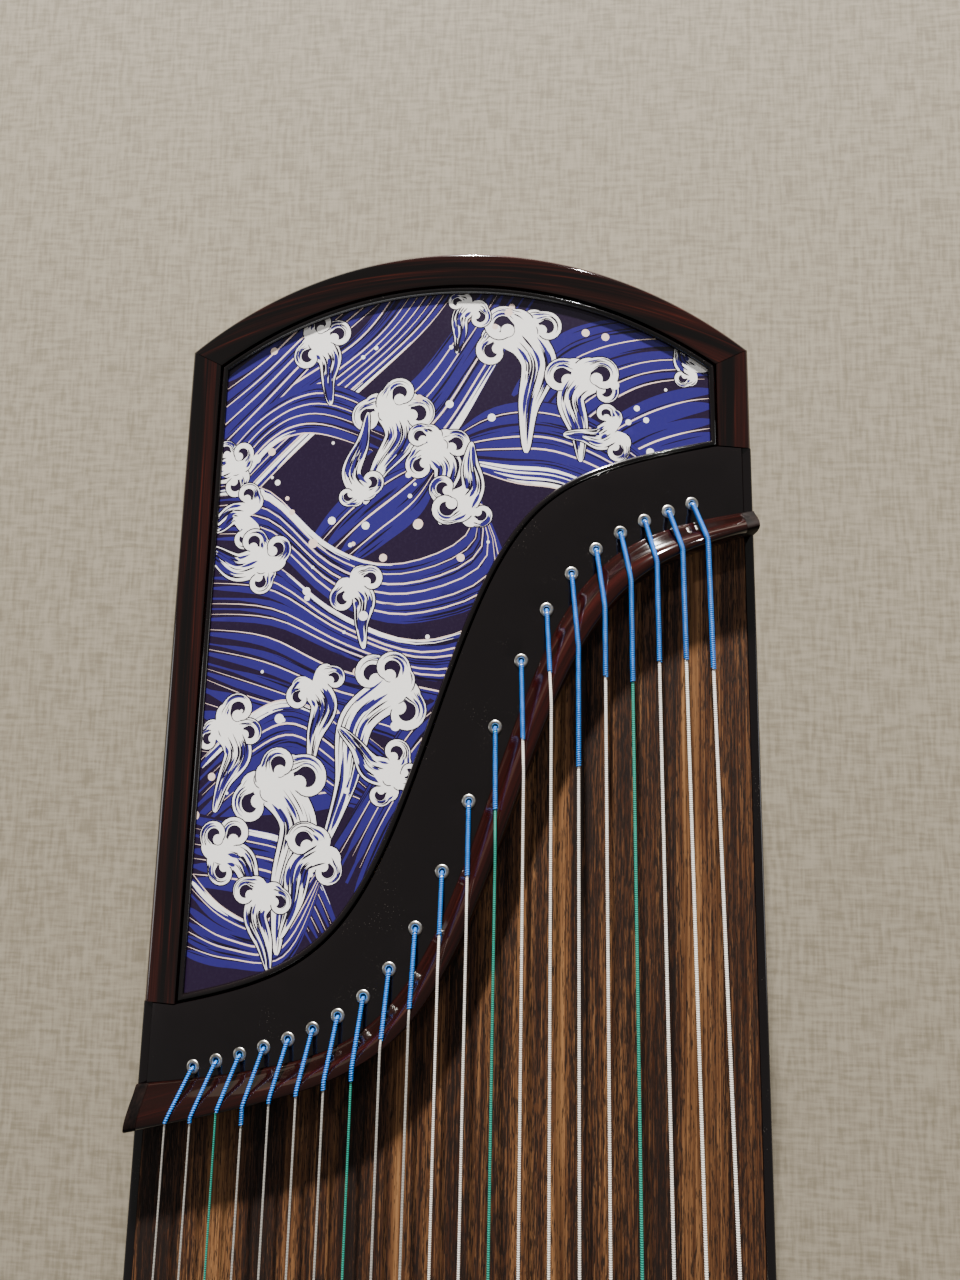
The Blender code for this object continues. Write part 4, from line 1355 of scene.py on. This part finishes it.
# %% Strings
WRAPS = (21.4, 23.8, 21.4, 30.0, 24.3, 25.2, 28.4, 32.6, 28.0, 32.9, 27.4)  # lengths in millimetres
WRAPS += (33.5, 38.4, 37.6, 31.2, 92.5, 63.5, 74.1, 71.3, 75.1, 83.8)
GREEN_STRINGS = (3, 8, 13, 18)
round_string, winding = string_tree(), winding_tree()


def chain(path):
    return [(i, i + 1) for i in range(len(path) - 1)]


def wrapped_part(path, reach):
    """The first part of a path, from just inside the eyelet, this far along X."""
    part = [p for p in path[1:] if p[0] < path[0][0] + reach]
    last, following = part[-1], path[len(part) + 1]
    share = (path[0][0] + reach - last[0]) / max(following[0] - last[0], 1e-9)
    return part + [tuple(a + (b - a) * share for a, b in zip(last, following))]


def string_finish(number):
    if number in GREEN_STRINGS:
        return green_string
    return silver_string if number < MIDDLE else white_string


for n in range(1, STRINGS + 1):
    bridge, radius, material = f"bridge_{n:02d}", string_radius(n), string_finish(n)
    sizes = {"Radius": radius, "Sides": 8}
    tail, crest = tail_path(n), Vector((*crest_point(n), 0.0))
    saddle, front = Vector(saddle_point(n)), Vector(front_point(n))
    tail_piece = grown(f"string_{n:02d}_tail", round_string, tail, chain(tail), material, sizes)
    wrap = wrapped_part(tail, WRAPS[n - 1] / 1000)
    wrap_sizes = {"Pitch": 0.0010, "Radius": radius + 0.00012, "Thread": 0.00042}
    wrap_piece = grown(f"string_{n:02d}_wrap", winding, wrap, chain(wrap), blue_thread, wrap_sizes)
    for piece in (tail_piece, wrap_piece):
        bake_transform(piece)
    ahead = front_path(n)
    front_piece = grown(f"string_{n:02d}_front", round_string, ahead, chain(ahead), material, sizes)
    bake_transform(front_piece)
    last = head_path(n)
    head_piece = grown(f"string_{n:02d}_head", round_string, last, chain(last), material, sizes)
    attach(head_piece, "root")
    pin_x, pin_y = pin_place(n)
    post = [(pin_x, pin_y, COIL_LOW + 0.0004 * i) for i in range(21)]
    coil_sizes = {"Pitch": 0.0017, "Radius": 0.0040, "Thread": radius}
    coil = grown(f"pin_{n:02d}_coil", winding, post, chain(post), material, coil_sizes)
    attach(coil, f"pin_{n:02d}")
    if n == 1:
        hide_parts("strings")
print("strings:", STRINGS, "each in four parts and a coil")

# %% [markdown]
# Each movable bridge is one A-shaped piece of padauk: two feet cut to the arch of the soundboard, a
# pointed arch between them and a narrow neck. A strip of bone at the top carries the string in a
# notch. The outline is drawn once in shares of the span and height, and each bridge takes its own.

# %% Movable bridges
FOOT_THICK, TOP_THICK = 0.012, 0.006
# Half of an A-shaped outline, in metres across and in shares of the height
LEG_OUTSIDE = ((0.0050, 0.93), (0.0062, 0.72), (0.0095, 0.50), (0.0150, 0.31), (0.0200, 0.16), (0.0221, 0.08))
LEG_ARCH = ((0.0136, 0.05), (0.0126, 0.14), (0.0083, 0.31), (0.0040, 0.385), (0.0, 0.40))
SADDLE_HALF = ((0.0008, 0.999), (0.0036, 0.999), (0.0046, 0.985), (0.0046, 0.930))


def leg_outline(height):
    """Half of a bridge's outline: from the top down the outside, along the foot and up the arch."""
    outside = smooth_line([(y, height * share) for y, share in LEG_OUTSIDE], 4)
    arch = smooth_line([(y, height * share) for y, share in LEG_ARCH], 4)
    return [(0.0, height * 0.93), *outside, (0.0222, 0.0), (0.0141, 0.0), *arch]


def bridge_shell(x, y, height, half):
    """A closed shell: the outline on five layers, whose outer ones are eased in."""
    outline = half + [(-dy, dz) for dy, dz in reversed(half[1:-1])]
    ground = top_z(x, y)
    rings = []
    for side, ease in ((-1, 0.05), (-0.86, 0.0), (0, 0.0), (0.86, 0.0), (1, 0.05)):
        ring = []
        for dy, dz in outline:
            thick = FOOT_THICK + (TOP_THICK - FOOT_THICK) * dz / height
            base = top_z(x, y + dy) - ground if dz < height * 0.01 else 0.0
            ring.append((x + side * thick / 2, y + dy * (1 - ease * 0.3), ground + GAP + base + dz))
        rings.append(ring)
    return loft(rings)


def saddle_shell(x, y, height):
    """The bone strip on a bridge's top, with a notch for the string."""
    ground = top_z(x, y) + GAP
    profile = [*((-dy, share) for dy, share in reversed(SADDLE_HALF)), (0.0, 0.994), *SADDLE_HALF]
    rings = []
    for side in (-1, -0.7, 0, 0.7, 1):
        ring = []
        for dy, share in profile:
            lower = 0.006 * abs(side) ** 3 if share > 0.95 else 0
            ring.append((x + side * 0.0029, y + dy, ground + height * (share - lower)))
        rings.append(ring)
    return loft(rings)


for n in range(1, STRINGS + 1):
    body, x, height = f"bridge_{n:02d}", bridge_x(n), bridge_height(n)
    y = string_y(n, x)
    shell = bridge_shell(x, y, height, leg_outline(height))
    legs = new_piece(f"{body}_wood", [shell], padauk, lambda p: (p.z, p.y), sharp=35)
    settle(legs, body, "padauk", body)
    top = new_piece(f"{body}_bone", [saddle_shell(x, y, height)], bone, bevel=0.0002)
    settle(top, body, "maple")

# %% [markdown]
# At the head, the strings cross a fixed front bridge and end on tuning pins under the lid. The pins
# are turned steel with a square top for the wrench. The lid and the end board keep the frame's shape;
# a thin smooth veneer on the lid follows the arch without facets.

# %% Front bridge
FRONT_SHARES = [0, 0.04, *[0.1 * i for i in range(1, 10)], 0.96, 1]
front_lines = (lambda y: X_FRONT - FRONT_WIDTH / 2), (lambda y: X_FRONT + FRONT_WIDTH / 2)


def front_profile(share):
    ease = max(0.0, abs(2 * share - 1) - 0.86) / 0.14
    return front_bridge_height(share) - 0.0012 * ease**2 - (0.00012 if 0.35 < share < 0.8 else 0.0)


def across_grain(p):
    return (p.y, p.x + p.z)


stops = [2 * i / 80 - 1 for i in range(81)]
front_shell = loft([ridge_ring(a, *front_lines, front_profile, FRONT_SHARES) for a in stops])
front_bridge = new_piece("front_bridge_body", [front_shell], rosewood, across_grain, sharp=50)
settle(front_bridge, "root", "rosewood", "front_bridge")


# %% Tuning pins
# Each ring of a pin is (height, radius, whether it is square)
PIN_RINGS = (
    (0.0340, 0.0030, False), (0.0344, 0.0032, False), (0.0540, 0.0032, False), (0.0622, 0.0032, False),
    (0.0628, 0.0032, False), (0.0640, 0.0031, False), (0.0648, 0.0026, True), (0.0722, 0.0024, True),
    (0.0728, 0.0021, True),
)


def pin_shell(x, y):
    """A turned shaft that changes to a square with eased corners at its top."""
    rings = []
    for z, radius, square in PIN_RINGS:
        ring = []
        for i in range(24):
            a = 2 * pi * i / 24 + pi / 24
            flat = radius / max(abs(cos(a)), abs(sin(a)))
            reach = min(flat, radius * 1.30) if square else radius
            ring.append((x + reach * cos(a), y + reach * sin(a), z))
        rings.append(ring)
    return loft(rings)


for n in range(1, STRINGS + 1):
    pin = new_piece(f"pin_{n:02d}_post", [pin_shell(*pin_place(n))], nickel)
    settle(pin, f"pin_{n:02d}", "nickel", f"pin_{n:02d}")

# %% Lid, end board and the parts that keep the frame's own mesh
lid_front, lid_end = X_FRONT + 0.050, X_HEAD - 0.0045
lid_inset = SIDE_WALL + 0.0008
lid_outline = [side_point(lid_front, lid_inset, -1), side_point(lid_end, lid_inset, -1)]
lid_outline += [side_point(lid_end, lid_inset, 1), side_point(lid_front, lid_inset, 1)]
lid_shell = board(lid_outline, raised(0.0001), raised(-0.0005), spacing=0.008)
veneer = new_piece("box_lid_veneer", [lid_shell], rosewood, lambda p: (p.y, p.x), bevel=0.0002)
settle(veneer, "lid", "rosewood")

KEPT = {  # the frame's own meshes that are seen as they are
    "box_lid": rosewood,
    "head_end_board": rosewood,
    "tail_foot": rosewood,
    "head_foot": rosewood,
    "lid_hinge_pin": brass,
    "pin_block": maple,
    "bottom_board": pine,
    "brace_frame": pine,
}
for node, material in KEPT.items():
    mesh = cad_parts[node].data
    mesh.materials.clear()
    mesh.materials.append(material)
    if not mesh.uv_layers.get("grain"):
        lay_grain(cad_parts[node], across_grain)
print("kept nodes:", len(KEPT))

# %% [markdown]
# The floor is plain and pale. One soft key light stands low beyond the tail, so the tail bridge casts
# its shadow along the soundboard, and wide dim lights fill the sides. The camera looks down on the tail.


# %% Floor
def floor_recipe(start):
    place = place_of(start)
    threads = noise(stretched(place, 420.0, 60.0, 1.0), 2.0) + noise(stretched(place, 60.0, 420.0, 1.0), 2.0)
    broad = noise(stretched(place, 5.0, 5.0, 1.0), 3.0)
    tone = fade(threads * 0.6 + broad * 0.1, 0.42, 0.84)
    return {"Base Color": mixed(tone, rgb("736a59"), rgb("8f8675")), "Roughness": broad * 0.1 + 0.8}


floor_mesh = bpy.data.meshes.new("floor")
floor_mesh.from_pydata([(-6, -6, 0), (6, -6, 0), (6, 6, 0), (-6, 6, 0)], [], [(0, 1, 2, 3)])
floor_mesh.materials.append(finish("floor", floor_recipe))
placed("floor", floor_mesh)


# %% Lights
def area_light(name, place, target, size, power, colour=(1.0, 1.0, 1.0)):
    lamp = bpy.data.lights.new(name, "AREA")
    lamp.shape, lamp.size, lamp.energy, lamp.color = "DISK", size, power, colour
    obj = placed(name, lamp)
    obj.location = place
    obj.rotation_mode = "QUATERNION"
    obj.rotation_quaternion = (Vector(target) - Vector(place)).to_track_quat("-Z", "Y")


area_light("key", (-5.2, -0.25, 1.42), (-0.45, 0.0, 0.09), 0.20, 1280.0, (1.0, 0.97, 0.92))
area_light("glint", (-3.4, 0.9, 1.9), (-0.6, 0.0, 0.09), 0.12, 40.0)
for name, place, middle in (
    ("fill_near", (-0.3, -3.8, 1.1), -0.2),
    ("fill_far", (-0.3, 3.8, 1.1), -0.2),
    ("fill_head", (3.9, 0.0, 1.5), 0.2),
):
    area_light(name, place, (middle, 0.0, 0.05), 1.6, 16.0)

world = bpy.data.worlds.new("studio")
bpy.context.scene.world = world
world.use_nodes = True
sky = world.node_tree.nodes["Background"].inputs
sky["Color"].default_value = (0.86, 0.84, 0.80, 1.0)
sky["Strength"].default_value = 0.20

# %% Camera
lens = bpy.data.cameras.new("camera")
lens.lens, lens.sensor_width, lens.sensor_fit = 26.0, 36.0, "AUTO"
lens.clip_start = 0.01
camera = placed("camera", lens)
right = Vector((-0.02112, 0.99807, -0.05834))
down = Vector((0.99391, 0.01465, -0.10924))
ahead = Vector((-0.10818, -0.06029, -0.99230))
turned = Matrix((right, -down, -ahead)).transposed().to_4x4()
camera.matrix_world = Matrix.Translation((-0.5691, 0.0387, 0.5411)) @ turned
bpy.context.scene.camera = camera
